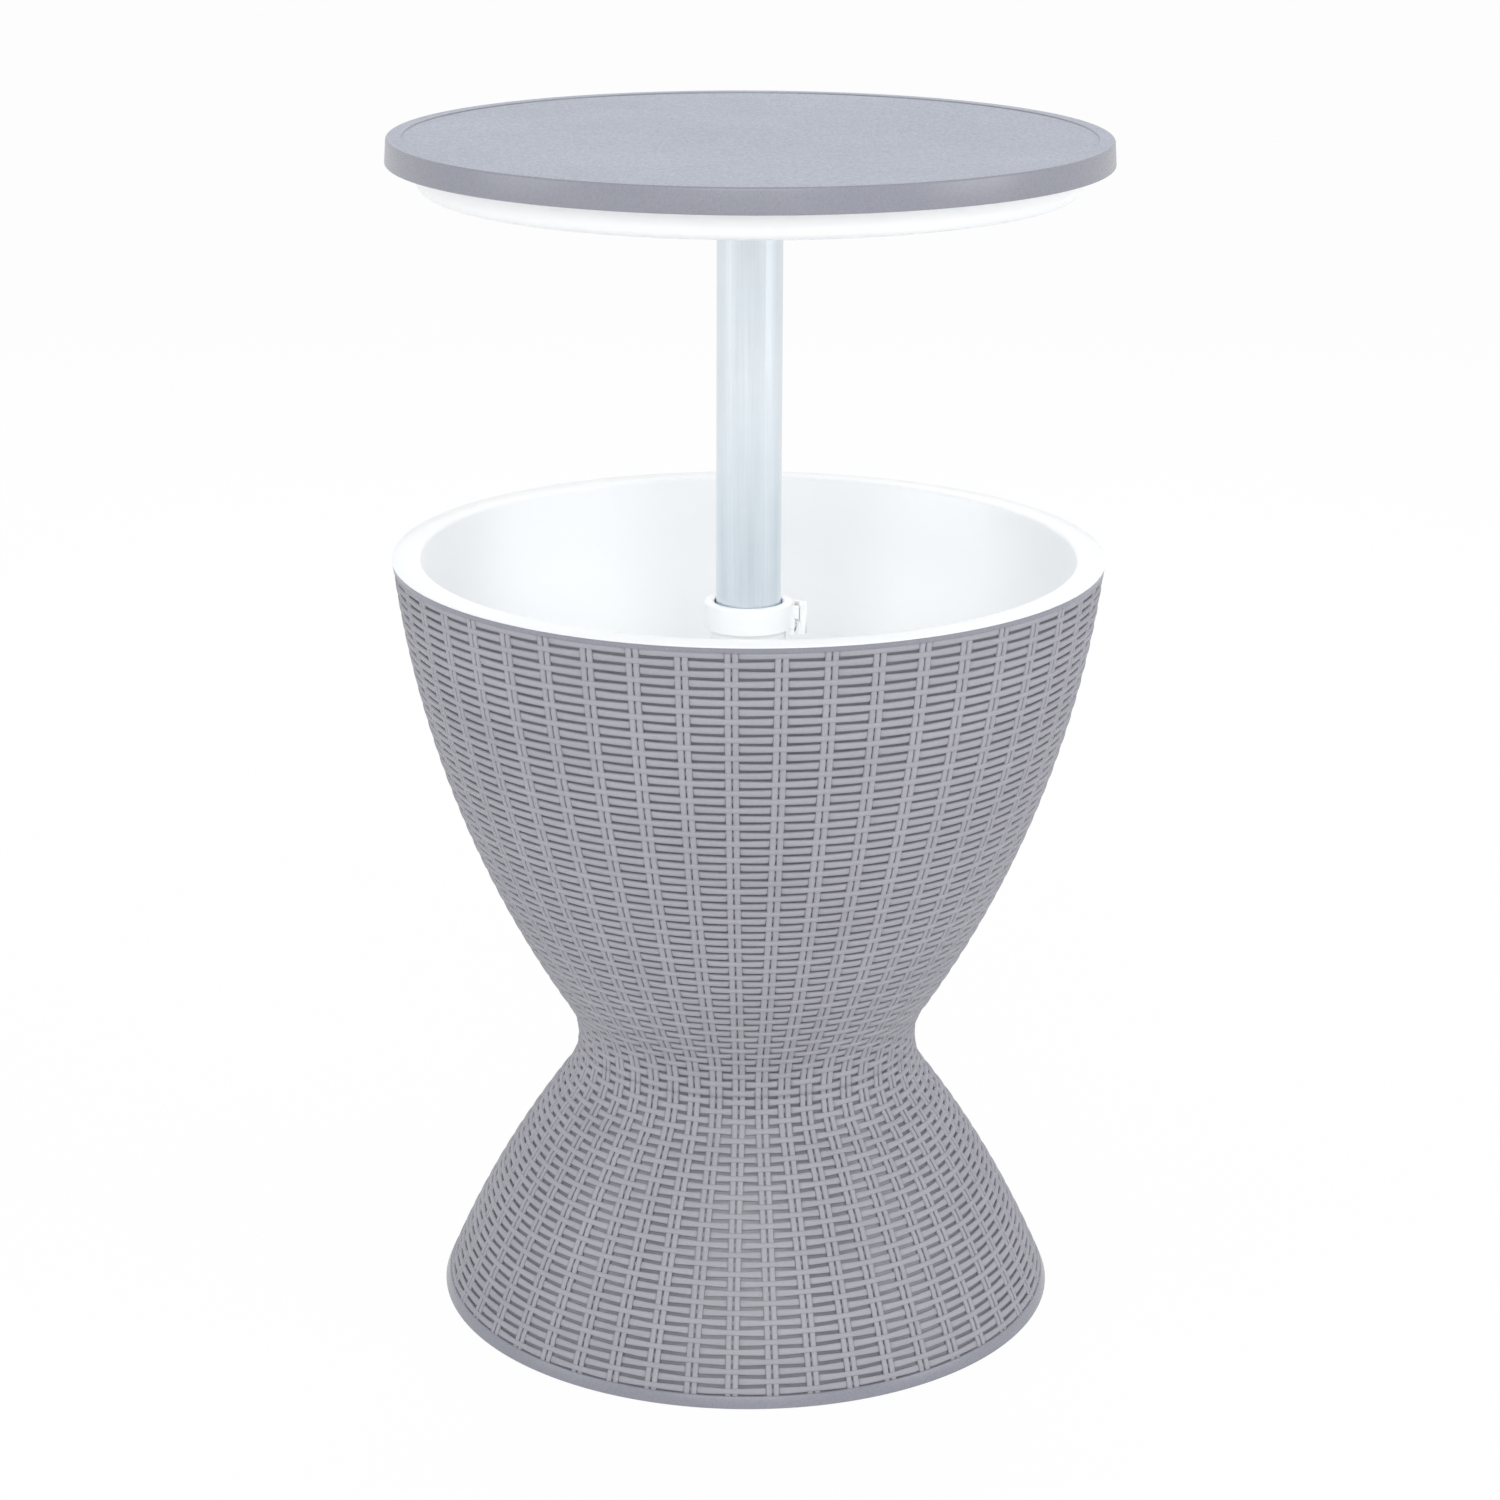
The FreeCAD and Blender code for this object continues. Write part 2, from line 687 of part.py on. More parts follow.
def socket_pin_shape(grow=0.0):
    half = pole_radius + running_fit + socket_wall
    start = Vector(-half, 0, pole_top - socket_pin_drop)
    return Part.makeCylinder(socket_pin_radius + grow, 2 * half, start, Vector(1, 0, 0))


def make_socket_screws():
    places = ring_places(socket_screw_count, socket_screw_circle, socket_screw_turn)
    length = socket_flange_thickness + dish_wall + socket_screw_grip
    base = dish_bottom - socket_flange_thickness
    return [pan_screw(socket_screw_radius, length, x, y, base) for x, y in places]


def foot_pin_shape(grow=0.0):
    half = sqrt(pole_radius ** 2 - foot_pin_radius ** 2) - running_fit
    start = Vector(-half, 0, pole_base + foot_pin_drop)
    return Part.makeCylinder(foot_pin_radius + grow, 2 * half, start, Vector(1, 0, 0))


def make_pole():
    pole = tube(pole_radius - pole_wall, pole_radius, pole_base, pole_top)
    cross_hole = Part.makeCylinder(foot_pin_radius + running_fit, 4 * pole_radius,
                                   Vector(-2 * pole_radius, 0, pole_base + foot_pin_drop), Vector(1, 0, 0))
    return pole.cut(cross_hole).cut(socket_pin_shape(running_fit))


def make_pole_foot():
    plug_radius = pole_radius - pole_wall - running_fit
    shoulder_radius = column_bore - loose_fit
    shoulder_base = pole_base - foot_shoulder_height
    hollow_radius = plug_radius - foot_plug_wall
    foot = turned([(hollow_radius, shoulder_base), (shoulder_radius, shoulder_base, flange_rounding),
                   (shoulder_radius, pole_base), (plug_radius, pole_base),
                   (plug_radius, pole_base + foot_plug_length, plug_bevel),
                   (hollow_radius, pole_base + foot_plug_length)])
    return foot.cut(foot_pin_shape(running_fit))


def make_drain_spout():
    flange_base = bucket_floor + drain_washer_thickness
    flange_top = flange_base + drain_flange_thickness
    spout = turned([(drain_bore, drain_end_height), (drain_outer, drain_end_height),
                    (drain_outer, flange_base), (drain_flange_radius, flange_base),
                    (drain_flange_radius, flange_top, drain_bevel),
                    (drain_bore, flange_top, drain_mouth_bevel)])
    spout.translate(Vector(0, drain_offset, 0))
    return spout


def make_drain_seal():
    return tube(drain_outer + running_fit, drain_flange_radius, bucket_floor,
                bucket_floor + drain_washer_thickness, 0, drain_offset)


def make_drain_nut():
    top = bucket_floor - bucket_wall
    base = top - drain_nut_height
    places = ring_places(drain_nut_sides, drain_flange_radius)
    corners = [Vector(x, y + drain_offset, base) for x, y in places]
    nut = Part.Face(Part.makePolygon(corners + corners[:1])).extrude(Vector(0, 0, drain_nut_height))
    return nut.cut(disc(drain_outer + running_fit, base, top, 0, drain_offset))


def plug_seat():
    return bucket_floor + drain_washer_thickness + drain_flange_thickness + 2 * running_fit


def ring_groove_height():
    return plug_seat() - plug_length + plug_ring_above_tip


def make_drain_plug():
    seat = plug_seat()
    stem = drain_bore - 2 * running_fit
    groove = ring_groove_height()
    half_groove = plug_ring_section + running_fit
    groove_radius = stem - 2 * plug_ring_section
    plug = turned([(0, seat - plug_length), (stem, seat - plug_length, plug_bevel),
                   (stem, groove - half_groove),
                   (groove_radius, groove - half_groove), (groove_radius, groove + half_groove),
                   (stem, groove + half_groove), (stem, seat), (plug_head_radius, seat),
                   (plug_head_radius, seat + plug_head_thickness, plug_bevel),
                   (0, seat + plug_head_thickness)])
    half = plug_tab_width / 2
    foot = seat + plug_head_thickness - weld
    tab_top = seat + plug_head_thickness + plug_tab_height
    tab = block((-half, -plug_tab_thickness / 2, foot), (half, plug_tab_thickness / 2, tab_top - half))
    crown_start = Vector(0, -plug_tab_thickness / 2, tab_top - half)
    crown = Part.makeCylinder(half, plug_tab_thickness, crown_start, Vector(0, 1, 0))
    plug = plug.fuse([tab, crown]).removeSplitter()
    plug.translate(Vector(0, drain_offset, 0))
    return plug


def make_plug_ring():
    middle_radius = drain_bore - 2 * running_fit - plug_ring_section
    section = plug_ring_section - press_gap
    corners = ring_places(plug_ring_sides, section, 180 / plug_ring_sides)
    ring = turned([(middle_radius + x, z) for x, z in corners])
    ring.translate(Vector(0, drain_offset, ring_groove_height()))
    return ring


def save(name, shape):
    shapes = shape if isinstance(shape, list) else [shape]
    solids = [solid for piece in shapes for solid in piece.Solids]
    result = solids[0] if len(solids) == 1 else Part.makeCompound(solids)
    if not result.isValid():
        raise ValueError(name + " is not a valid solid")
    result.exportStep("parts/" + name + ".step")
    volume = sum(solid.Volume for solid in solids) / 1000
    print(name, len(solids), "solid(s), volume", round(volume, 2), "cm3")


os.makedirs("parts", exist_ok=True)
save("table_top", make_table_top())
save("lid_underside", make_lid_underside())
save("lid_insulation", make_lid_insulation())
save("lid_screws", make_lid_screws())
save("pole_socket", make_pole_socket())
save("socket_screws", make_socket_screws())
save("socket_pin", socket_pin_shape())
save("pole", make_pole())
save("pole_foot", make_pole_foot())
save("foot_pin", foot_pin_shape())
save("bucket", make_bucket())
save("bucket_insulation", make_bucket_insulation())
save("upper_shell", make_upper_shell())
save("base_shell", make_base_shell())
save("waist_screws", make_waist_screws())
save("centre_column", make_centre_column())
save("column_seal", make_column_seal())
save("column_nut", make_column_nut())
save("guide_bush", make_guide_bush())
save("lock_collar", make_lock_collar())
save("collar_screws", collar_screw_shapes())
save("lock_lever", make_lock_lever())
save("brake_shoe", make_brake_shoe())
save("lever_pin", make_lever_pin())
save("lever_spring", make_lever_spring())
save("drain_spout", make_drain_spout())
save("drain_seal", make_drain_seal())
save("drain_nut", make_drain_nut())
save("drain_plug", make_drain_plug())
save("plug_ring", make_plug_ring())
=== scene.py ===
import bmesh
import bpy
import json
from math import asin, ceil, cos, hypot, pi, radians, sin, sqrt, tan
from mathutils import Matrix, Vector


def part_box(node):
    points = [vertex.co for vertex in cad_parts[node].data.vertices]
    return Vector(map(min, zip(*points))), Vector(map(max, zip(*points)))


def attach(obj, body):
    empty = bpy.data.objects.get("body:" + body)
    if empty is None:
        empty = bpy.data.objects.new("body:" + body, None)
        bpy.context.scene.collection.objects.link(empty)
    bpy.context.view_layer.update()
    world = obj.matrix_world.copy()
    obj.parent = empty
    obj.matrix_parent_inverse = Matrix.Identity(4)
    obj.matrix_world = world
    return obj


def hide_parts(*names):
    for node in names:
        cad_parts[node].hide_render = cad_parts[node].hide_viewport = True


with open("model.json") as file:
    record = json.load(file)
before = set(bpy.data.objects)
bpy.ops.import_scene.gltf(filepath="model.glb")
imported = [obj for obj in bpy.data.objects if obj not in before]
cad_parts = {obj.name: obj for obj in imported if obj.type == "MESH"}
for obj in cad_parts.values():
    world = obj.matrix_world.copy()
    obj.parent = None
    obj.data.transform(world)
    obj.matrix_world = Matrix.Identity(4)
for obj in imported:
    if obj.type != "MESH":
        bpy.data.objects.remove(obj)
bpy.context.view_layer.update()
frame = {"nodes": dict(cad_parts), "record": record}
print("frame loaded:", len(frame["nodes"]), "nodes")

tinyGap = 1e-6  # points closer than this, in metres, are one

# Outline of the woven shell, as the solids have it, in metres
outline = {
    "footRadius": 0.2237,
    "footCurve": 0.720,
    "waistRadius": 0.1231,
    "waistHeight": 0.192,
    "waistCurve": 0.0557,
    "bodyCurve": 0.7525,
    "mouthRadius": 0.2494,
    "mouthHeight": 0.5524,
    "shellTop": 0.5514,
    "rimBand": 0.0037,
    "footBand": 0.008,
    "seamHeight": 0.1875,
    "weaveDepth": 0.0024,
    "shellWall": 0.0026,
    "curveStep": 0.002,
}


def addNode(tree, kind, inputs=None, **settings):
    # Adds a node; inputs are values or sockets to link, by name or by number
    node = tree.nodes.new(kind)
    for key, value in settings.items():
        setattr(node, key, value)
    for key, value in (inputs or {}).items():
        socket = node.inputs[key]
        if isinstance(value, bpy.types.NodeSocket):
            tree.links.new(value, socket)
        else:
            socket.default_value = value
    return node


def calc(tree, operation, *values):
    # One Math node; its value comes back as a socket
    kind = "ShaderNodeMath"
    return addNode(tree, kind, dict(enumerate(values)), operation=operation).outputs[0]


def addObject(name, data):
    piece = bpy.data.objects.new(name, data)
    bpy.context.scene.collection.objects.link(piece)
    return piece


# Shell outline: foot curve, waist curve and body curve, for the shells and the woven strands

def curveCentre(endRadius, endHeight, radius):
    # Centre of a long curve that ends at a point and meets the waist's curve smoothly
    across = outline["waistRadius"] + outline["waistCurve"] - endRadius
    up = outline["waistHeight"] - endHeight
    reach = hypot(across, up)
    along = (radius ** 2 - (radius + outline["waistCurve"]) ** 2 + reach ** 2) / (2 * reach)
    aside = sqrt(radius ** 2 - along ** 2)
    middle = (endRadius + along * across / reach, endHeight + along * up / reach)
    turn = (-aside * up / reach, aside * across / reach)
    return min((middle[0] + sign * turn[0], middle[1] + sign * turn[1]) for sign in (-1, 1))


footCentre = curveCentre(outline["footRadius"], 0.0, outline["footCurve"])
bodyCentre = curveCentre(outline["mouthRadius"], outline["mouthHeight"], outline["bodyCurve"])
waistCentre = (outline["waistRadius"] + outline["waistCurve"], outline["waistHeight"])


def curveJoins(inset=0.0):
    # Heights where the waist's curve meets the two long ones
    lower = (footCentre[1] - waistCentre[1]) / (outline["footCurve"] + outline["waistCurve"])
    upper = (bodyCentre[1] - waistCentre[1]) / (outline["bodyCurve"] + outline["waistCurve"])
    reach = outline["waistCurve"] + inset
    return waistCentre[1] + lower * reach, waistCentre[1] + upper * reach


def shellRadius(height, inset=0.0):
    lowerJoin, upperJoin = curveJoins(inset)
    if height < lowerJoin:
        centre, radius, side = footCentre, outline["footCurve"] - inset, 1
    elif height > upperJoin:
        centre, radius, side = bodyCentre, outline["bodyCurve"] - inset, 1
    else:
        centre, radius, side = waistCentre, outline["waistCurve"] + inset, -1
    return centre[0] + side * sqrt(radius ** 2 - (height - centre[1]) ** 2)


def arcStations(centre, radius, low, high, spacing):
    # Points up an arc between two heights, evenly spaced; the waist's arc bends the other way
    side = 1 if centre is not waistCentre else -1
    start = asin((low - centre[1]) / radius)
    end = asin((high - centre[1]) / radius)
    count = ceil(abs(end - start) * radius / spacing)
    turns = [start + (end - start) * step / count for step in range(count)]
    return [(centre[0] + side * radius * cos(t), centre[1] + radius * sin(t)) for t in turns]


def outlineStations(inset, low, high, spacing):
    # Points up the outline between two heights, set in squarely
    lowerJoin, upperJoin = curveJoins(inset)
    arcs = [(footCentre, outline["footCurve"] - inset, 0.0, lowerJoin),
            (waistCentre, outline["waistCurve"] + inset, lowerJoin, upperJoin),
            (bodyCentre, outline["bodyCurve"] - inset, upperJoin, outline["shellTop"])]
    points = []
    for centre, radius, start, end in arcs:
        start = max(start, low)
        end = min(end, high)
        if start < end:
            points += arcStations(centre, radius, start, end, spacing)
    return points + [(shellRadius(high, inset), high)]


def makeOutlineCurve():
    # Flat curve that the weave's trees sample
    points = outlineStations(0.0, 0.0, outline["shellTop"], outline["curveStep"])
    curve = bpy.data.curves.new("shellOutline", "CURVE")
    curve.dimensions = "3D"
    spline = curve.splines.new("POLY")
    spline.points.add(len(points) - 1)
    for point, (radius, height) in zip(spline.points, points):
        point.co = (radius, 0.0, height, 1.0)
    length = sum(hypot(b[0] - a[0], b[1] - a[1]) for a, b in zip(points, points[1:]))
    print("outline length", round(length, 4))
    return addObject("shellOutline", curve)


shellCurve = makeOutlineCurve()


# Materials

def newMaterial(name, constants=None):
    # Material with some of its shader's sockets set to plain values
    material = bpy.data.materials.new(name)
    material.use_nodes = True
    shader = material.node_tree.nodes["Principled BSDF"]
    for key, value in (constants or {}).items():
        shader.inputs[key].default_value = value
    return material, material.node_tree, shader


def objectPlace(tree, scale=(1, 1, 1)):
    # Coordinates on the piece itself, stretched by scale
    place = addNode(tree, "ShaderNodeTexCoord").outputs["Object"]
    return addNode(tree, "ShaderNodeMapping", {"Vector": place, "Scale": scale}).outputs["Vector"]


def noise(tree, place, scale, detail=3.0, roughness=0.55):
    inputs = {"Vector": place, "Scale": scale, "Detail": detail, "Roughness": roughness}
    return addNode(tree, "ShaderNodeTexNoise", inputs).outputs["Fac"]


def spread(tree, value, to=(0.0, 1.0), usual=(0.3, 0.7)):
    # Maps the usual range of a noise on to a range of our own
    inputs = {
        "Value": value,
        "From Min": usual[0],
        "From Max": usual[1],
        "To Min": to[0],
        "To Max": to[1],
    }
    return addNode(tree, "ShaderNodeMapRange", inputs).outputs["Result"]


def tint(tree, shader, look, tone):
    # Base colour between the look's two tones
    node = addNode(tree, "ShaderNodeMix", {"Factor": tone}, data_type="RGBA")
    node.inputs["A"].default_value = (*look["dark"], 1)
    node.inputs["B"].default_value = (*look["light"], 1)
    tree.links.new(node.outputs["Result"], shader.inputs["Base Color"])


def roughen(tree, shader, look, wear):
    # Roughness within the look's range, by a noise
    tree.links.new(spread(tree, wear, look["rough"]), shader.inputs["Roughness"])


def addBump(tree, shader, height, distance, strength=1.0):
    inputs = {"Height": height, "Distance": distance, "Strength": strength}
    bump = addNode(tree, "ShaderNodeBump", inputs)
    tree.links.new(bump.outputs["Normal"], shader.inputs["Normal"])


def wovenPlastic():
    # Matte moulded strands: fine grain, faint mottling, each strand a little lighter or darker
    look = {
        "dark": (0.340, 0.334, 0.370),
        "light": (0.414, 0.408, 0.446),
        "strandShare": 0.35,
        "mottle": {"scale": 14.0},
        "mottleShare": 0.35,
        "speckle": {"scale": 620.0, "detail": 2.0},
        "speckleShare": 0.3,
        "rough": (0.62, 0.80),
        "grain": {"scale": 1500.0, "detail": 4.0},
        "grainDepth": 0.00006,
        "specular": 0.3,
    }
    material, tree, shader = newMaterial("wovenPlastic", {"Specular IOR Level": look["specular"]})
    place = objectPlace(tree)
    mottle = spread(tree, noise(tree, place, **look["mottle"]))
    speckle = spread(tree, noise(tree, place, **look["speckle"]))
    strand = addNode(tree, "ShaderNodeAttribute", attribute_name="strandTone").outputs["Fac"]
    tone = calc(tree, "MULTIPLY", mottle, look["mottleShare"])
    tone = calc(tree, "MULTIPLY_ADD", strand, look["strandShare"], tone)
    tone = calc(tree, "MULTIPLY_ADD", speckle, look["speckleShare"], tone)
    grain = noise(tree, place, **look["grain"])
    tint(tree, shader, look, tone)
    roughen(tree, shader, look, grain)
    addBump(tree, shader, grain, look["grainDepth"])
    return material


def shadedRecessPlastic():
    # Smoother, glossier floor between the strands; its far darker tone is painted shade for the
    # shadow in the gaps
    look = {
        # Both tones are painted shade, much darker than the strands' own plastic
        "dark": (0.128, 0.130, 0.155),
        "light": (0.182, 0.187, 0.216),
        "mottle": {"scale": 40.0},
        "rough": (0.30, 0.42),
        "wear": {"scale": 120.0},
        "grain": {"scale": 300.0},
        "grainDepth": 0.00005,
        "specular": 0.7,
    }
    material, tree, shader = newMaterial("shadedRecessPlastic", {"Specular IOR Level": look["specular"]})
    place = objectPlace(tree)
    tint(tree, shader, look, spread(tree, noise(tree, place, **look["mottle"])))
    roughen(tree, shader, look, noise(tree, place, **look["wear"]))
    addBump(tree, shader, noise(tree, place, **look["grain"]), look["grainDepth"])
    return material


def smoothTaupePlastic():
    # Skirt, bands and inner faces: the same plastic, satin smooth, with a faint speckle
    look = {
        "dark": (0.225, 0.228, 0.268),
        "light": (0.305, 0.310, 0.356),
        "cloud": {"scale": 9.0},
        "cloudRange": (0.15, 0.35),
        "speckle": {"scale": 430.0, "detail": 4.0, "roughness": 0.7},
        "speckleShare": 0.5,
        "rough": (0.24, 0.34),
        "grain": {"scale": 1300.0},
        "grainDepth": 0.00002,
    }
    material, tree, shader = newMaterial("smoothTaupePlastic")
    place = objectPlace(tree)
    cloud = spread(tree, noise(tree, place, **look["cloud"]), look["cloudRange"])
    speckle = spread(tree, noise(tree, place, **look["speckle"]))
    tint(tree, shader, look, calc(tree, "MULTIPLY_ADD", speckle, look["speckleShare"], cloud))
    grain = noise(tree, place, **look["grain"])
    roughen(tree, shader, look, grain)
    addBump(tree, shader, grain, look["grainDepth"])
    return material


def sandedLitTaupePlastic():
    # Top's recess and raised border: the plastic with a fine sandy texture; its lighter tone is
    # partly that texture and partly painted light from above
    look = {
        # Tones lighter than the skirt's: partly the sanded plastic, partly painted light from
        # above
        "dark": (0.280, 0.302, 0.362),
        "light": (0.558, 0.586, 0.660),
        "cloud": {"scale": 11.0},
        "cloudRange": (0.08, 0.20),
        "sand": {"scale": 460.0, "detail": 5.0, "roughness": 0.75},
        "sandRange": (0.38, 0.62),
        "sandShare": 0.72,
        "rough": (0.50, 0.70),
        "grainDepth": 0.00012,
    }
    material, tree, shader = newMaterial("sandedLitTaupePlastic")
    place = objectPlace(tree)
    cloud = spread(tree, noise(tree, place, **look["cloud"]), look["cloudRange"])
    sand = noise(tree, place, **look["sand"])
    speckle = spread(tree, sand, usual=look["sandRange"])
    tint(tree, shader, look, calc(tree, "MULTIPLY_ADD", speckle, look["sandShare"], cloud))
    roughen(tree, shader, look, sand)
    addBump(tree, shader, sand, look["grainDepth"])
    return material


def whitePlastic():
    # Bucket, dish and fittings: close tones of white, satin
    look = {
        "dark": (0.938, 0.948, 0.954),
        "light": (0.954, 0.962, 0.966),
        "mottle": {"scale": 7.0},
        "rough": (0.28, 0.40),
        "wear": {"scale": 60.0},
        "grain": {"scale": 220.0, "detail": 2.0},
        "grainDepth": 0.00003,
    }
    material, tree, shader = newMaterial("whitePlastic")
    place = objectPlace(tree)
    tint(tree, shader, look, spread(tree, noise(tree, place, **look["mottle"])))
    roughen(tree, shader, look, noise(tree, place, **look["wear"]))
    addBump(tree, shader, noise(tree, place, **look["grain"]), look["grainDepth"])
    return material


def satinAluminium():
    # Drawn tube: fine lines along its length
    look = {
        "dark": (0.69, 0.75, 0.80),
        "light": (0.76, 0.82, 0.86),
        "lines": {"scale": 900.0},
        "lineStretch": (1, 1, 0.012),
        "cloud": {"scale": 18.0},
        "halfTone": (0.0, 0.5),  # lines and cloud each give half of the tone
        "rough": (0.30, 0.40),
        "grainDepth": 0.000012,
    }
    material, tree, shader = newMaterial("satinAluminium", {"Metallic": 1.0})
    drawn = noise(tree, objectPlace(tree, look["lineStretch"]), **look["lines"])
    cloud = noise(tree, objectPlace(tree), **look["cloud"])
    halves = [spread(tree, pattern, look["halfTone"]) for pattern in (drawn, cloud)]
    tint(tree, shader, look, calc(tree, "ADD", *halves))
    roughen(tree, shader, look, drawn)
    addBump(tree, shader, drawn, look["grainDepth"])
    return material


# Small fittings: two close tones with one grain
plainLooks = {
    "greyPlastic": {
        "dark": (0.30, 0.30, 0.31),
        "light": (0.36, 0.36, 0.37),
        "rough": (0.36, 0.48),
        "grain": {"scale": 400.0},
        "grainDepth": 0.00002,
        "metallic": 0.0,
    },
    "zincSteel": {
        "dark": (0.50, 0.51, 0.53),
        "light": (0.66, 0.67, 0.68),
        "rough": (0.24, 0.36),
        "grain": {"scale": 500.0},
        "grainDepth": 0.00001,
        "metallic": 1.0,
    },
    "softRubber": {
        "dark": (0.020, 0.020, 0.022),
        "light": (0.035, 0.035, 0.037),
        "rough": (0.59, 0.71),
        "grain": {"scale": 700.0},
        "grainDepth": 0.00003,
        "metallic": 0.0,
    },
}


def plainMould(name):
    look = plainLooks[name]
    material, tree, shader = newMaterial(name, {"Metallic": look["metallic"]})
    grain = noise(tree, objectPlace(tree), **look["grain"])
    tint(tree, shader, look, spread(tree, grain))
    roughen(tree, shader, look, grain)
    addBump(tree, shader, grain, look["grainDepth"])
    return material


def beadFoam():
    # Expanded beads: pale cells with darker joints
    look = {
        "dark": (0.70, 0.70, 0.69),
        "light": (0.86, 0.86, 0.85),
        "beadScale": 280.0,
        "jointRange": (0.2, 0.75),
        "jointDepth": 0.0004,
        "jointStrength": 0.6,
        "rough": 0.8,
    }
    material, tree, shader = newMaterial("beadFoam", {"Roughness": look["rough"]})
    beads = {"Vector": objectPlace(tree), "Scale": look["beadScale"]}
    joint = addNode(tree, "ShaderNodeTexVoronoi", beads).outputs["Distance"]
    tint(tree, shader, look, spread(tree, joint, (1.0, 0.0), look["jointRange"]))
    addBump(tree, shader, joint, look["jointDepth"], look["jointStrength"])
    return material


finish = {
    "woven": wovenPlastic(),
    # The recess floor's darker tone is painted shade
    "recess": shadedRecessPlastic(),
    "smoothTaupe": smoothTaupePlastic(),
    # The sanded top's lighter tone is partly painted light from above
    "sandedLitTaupe": sandedLitTaupePlastic(),
    "white": whitePlastic(),
    "aluminium": satinAluminium(),
    "greyPlastic": plainMould("greyPlastic"),
    "steel": plainMould("zincSteel"),
    "rubber": plainMould("softRubber"),
    "foam": beadFoam(),
}
print("materials made:", len(finish))


# Woven strands, laid along the shell's outline by Geometry Nodes

weave = {
    "pairs": 48,
    "firstPair": radians(-2.5),  # from the middle of the front
    "rowPitch": 0.00665,  # rows, lengths and pitches are measured along the outline
    "upperRows": 58,
    "firstUpperRow": 0.5974,
    "baseRows": 31,
    "firstBaseRow": 0.2117,
    "upperStakeGap": 0.0008,
    "upperStakeWidth": 0.0041,
    "baseStakeGap": 0.0012,
    "baseStakeWidth": 0.0039,
    "stakeRise": 0.0018,
    "stakeWave": 0.0002,  # how much a stake rises and falls from row to row
    "footRunOn": 0.001,  # how far the stakes run on below the last row's space
    "sunk": 0.0006,  # how far the strands' backs lie below the recess floor
    "ringPoints": 8,  # corners of a strand's cross-section
}
pairTurn = 2 * pi / weave["pairs"]

# How a weft passes from over one pair of stakes (first value) to under the next (last value):
# its share of the way, extra distance, height above the recess floor and half width
weftStations = {
    "share": (0, 0, 0.36, 0.64, 1, 1, 1),
    "extra": (0, 0.0045, 0, 0, -0.0056, -0.0045, 0),
    "rise": (0.0024, 0.0024, 0.0023, 0.0021, 0.0018, 0.0007, 0.0004),
    "upperHalf": (0.0020, 0.0020, 0.00215, 0.0023, 0.00235, 0.0022, 0.0016),
    "baseHalf": (0.00195, 0.00195, 0.00215, 0.00235, 0.0024, 0.00215, 0.0015),
}


def newTree(name, kinds):
    # Tree with named inputs; gives each one's identifier
    tree = bpy.data.node_groups.new(name, "GeometryNodeTree")
    names = {}
    for key, kind in ({"Geometry": "Geometry"} | kinds).items():
        socket = tree.interface.new_socket(key, in_out="INPUT", socket_type="NodeSocket" + kind)
        names[key] = socket.identifier
    return tree, names


def pick(tree, index, values):
    # Value by number, from a short row of values
    node = addNode(tree, "GeometryNodeIndexSwitch", data_type="FLOAT")
    while len(node.index_switch_items) < len(values):
        node.index_switch_items.new()
    tree.links.new(index, node.inputs["Index"])
    for socket, value in zip(node.inputs[1:], values):
        socket.default_value = value
    return node.outputs[0]


def readAttribute(tree, name):
    kind = "GeometryNodeInputNamedAttribute"
    return addNode(tree, kind, {"Name": name}, data_type="INT").outputs["Attribute"]


def storeAttribute(tree, geometry, name, value, domain, kind="INT"):
    node = addNode(tree, "GeometryNodeStoreNamedAttribute", {"Geometry": geometry, "Name": name},
                   data_type=kind, domain=domain)
    tree.links.new(value, node.inputs["Value"])
    return node.outputs["Geometry"]


def strandSheets(tree, count, alongCount, seed):
    # A flat sheet of points for each strand, numbered along and around it
    ring = weave["ringPoints"] + 1
    sizes = {"Vertices X": alongCount, "Vertices Y": ring}
    grid = addNode(tree, "GeometryNodeMeshGrid", sizes).outputs["Mesh"]
    index = addNode(tree, "GeometryNodeInputIndex").outputs[0]
    along = calc(tree, "FLOOR", calc(tree, "DIVIDE", index, ring))
    around = calc(tree, "MODULO", index, ring)
    grid = storeAttribute(tree, grid, "along", along, "POINT")
    grid = storeAttribute(tree, grid, "around", around, "POINT")
    line = addNode(tree, "GeometryNodeMeshLine", {"Count": count}).outputs["Mesh"]
    copies = {"Points": line, "Instance": grid}
    placed = addNode(tree, "GeometryNodeInstanceOnPoints", copies).outputs[0]
    placed = storeAttribute(tree, placed, "strand", index, "INSTANCE")
    tone = addNode(tree, "FunctionNodeRandomValue", {"Seed": seed}, data_type="FLOAT").outputs[1]
    placed = storeAttribute(tree, placed, "strandTone", tone, "INSTANCE", "FLOAT")
    return addNode(tree, "GeometryNodeRealizeInstances", {"Geometry": placed}).outputs[0]


def flatRound(tree, around):
    # Cross-section of a strand: flat topped, with rounded edges; two shares from -1 to 1
    turn = calc(tree, "MULTIPLY", calc(tree, "ADD", around, 0.5), 2 * pi / weave["ringPoints"])
    shares = []
    for operation in ("COSINE", "SINE"):
        value = calc(tree, operation, turn)
        size = calc(tree, "SQRT", calc(tree, "ABSOLUTE", value))
        shares.append(calc(tree, "MULTIPLY", calc(tree, "SIGN", value), size))
    return shares


def strandRise(tree, crown, share):
    # Height above the recess floor, from the strand's sunk back (share -1) to its crown (1)
    middle = calc(tree, "MULTIPLY", calc(tree, "SUBTRACT", crown, weave["sunk"]), 0.5)
    halfRise = calc(tree, "MULTIPLY", calc(tree, "ADD", crown, weave["sunk"]), 0.5)
    return calc(tree, "MULTIPLY_ADD", share, halfRise, middle)


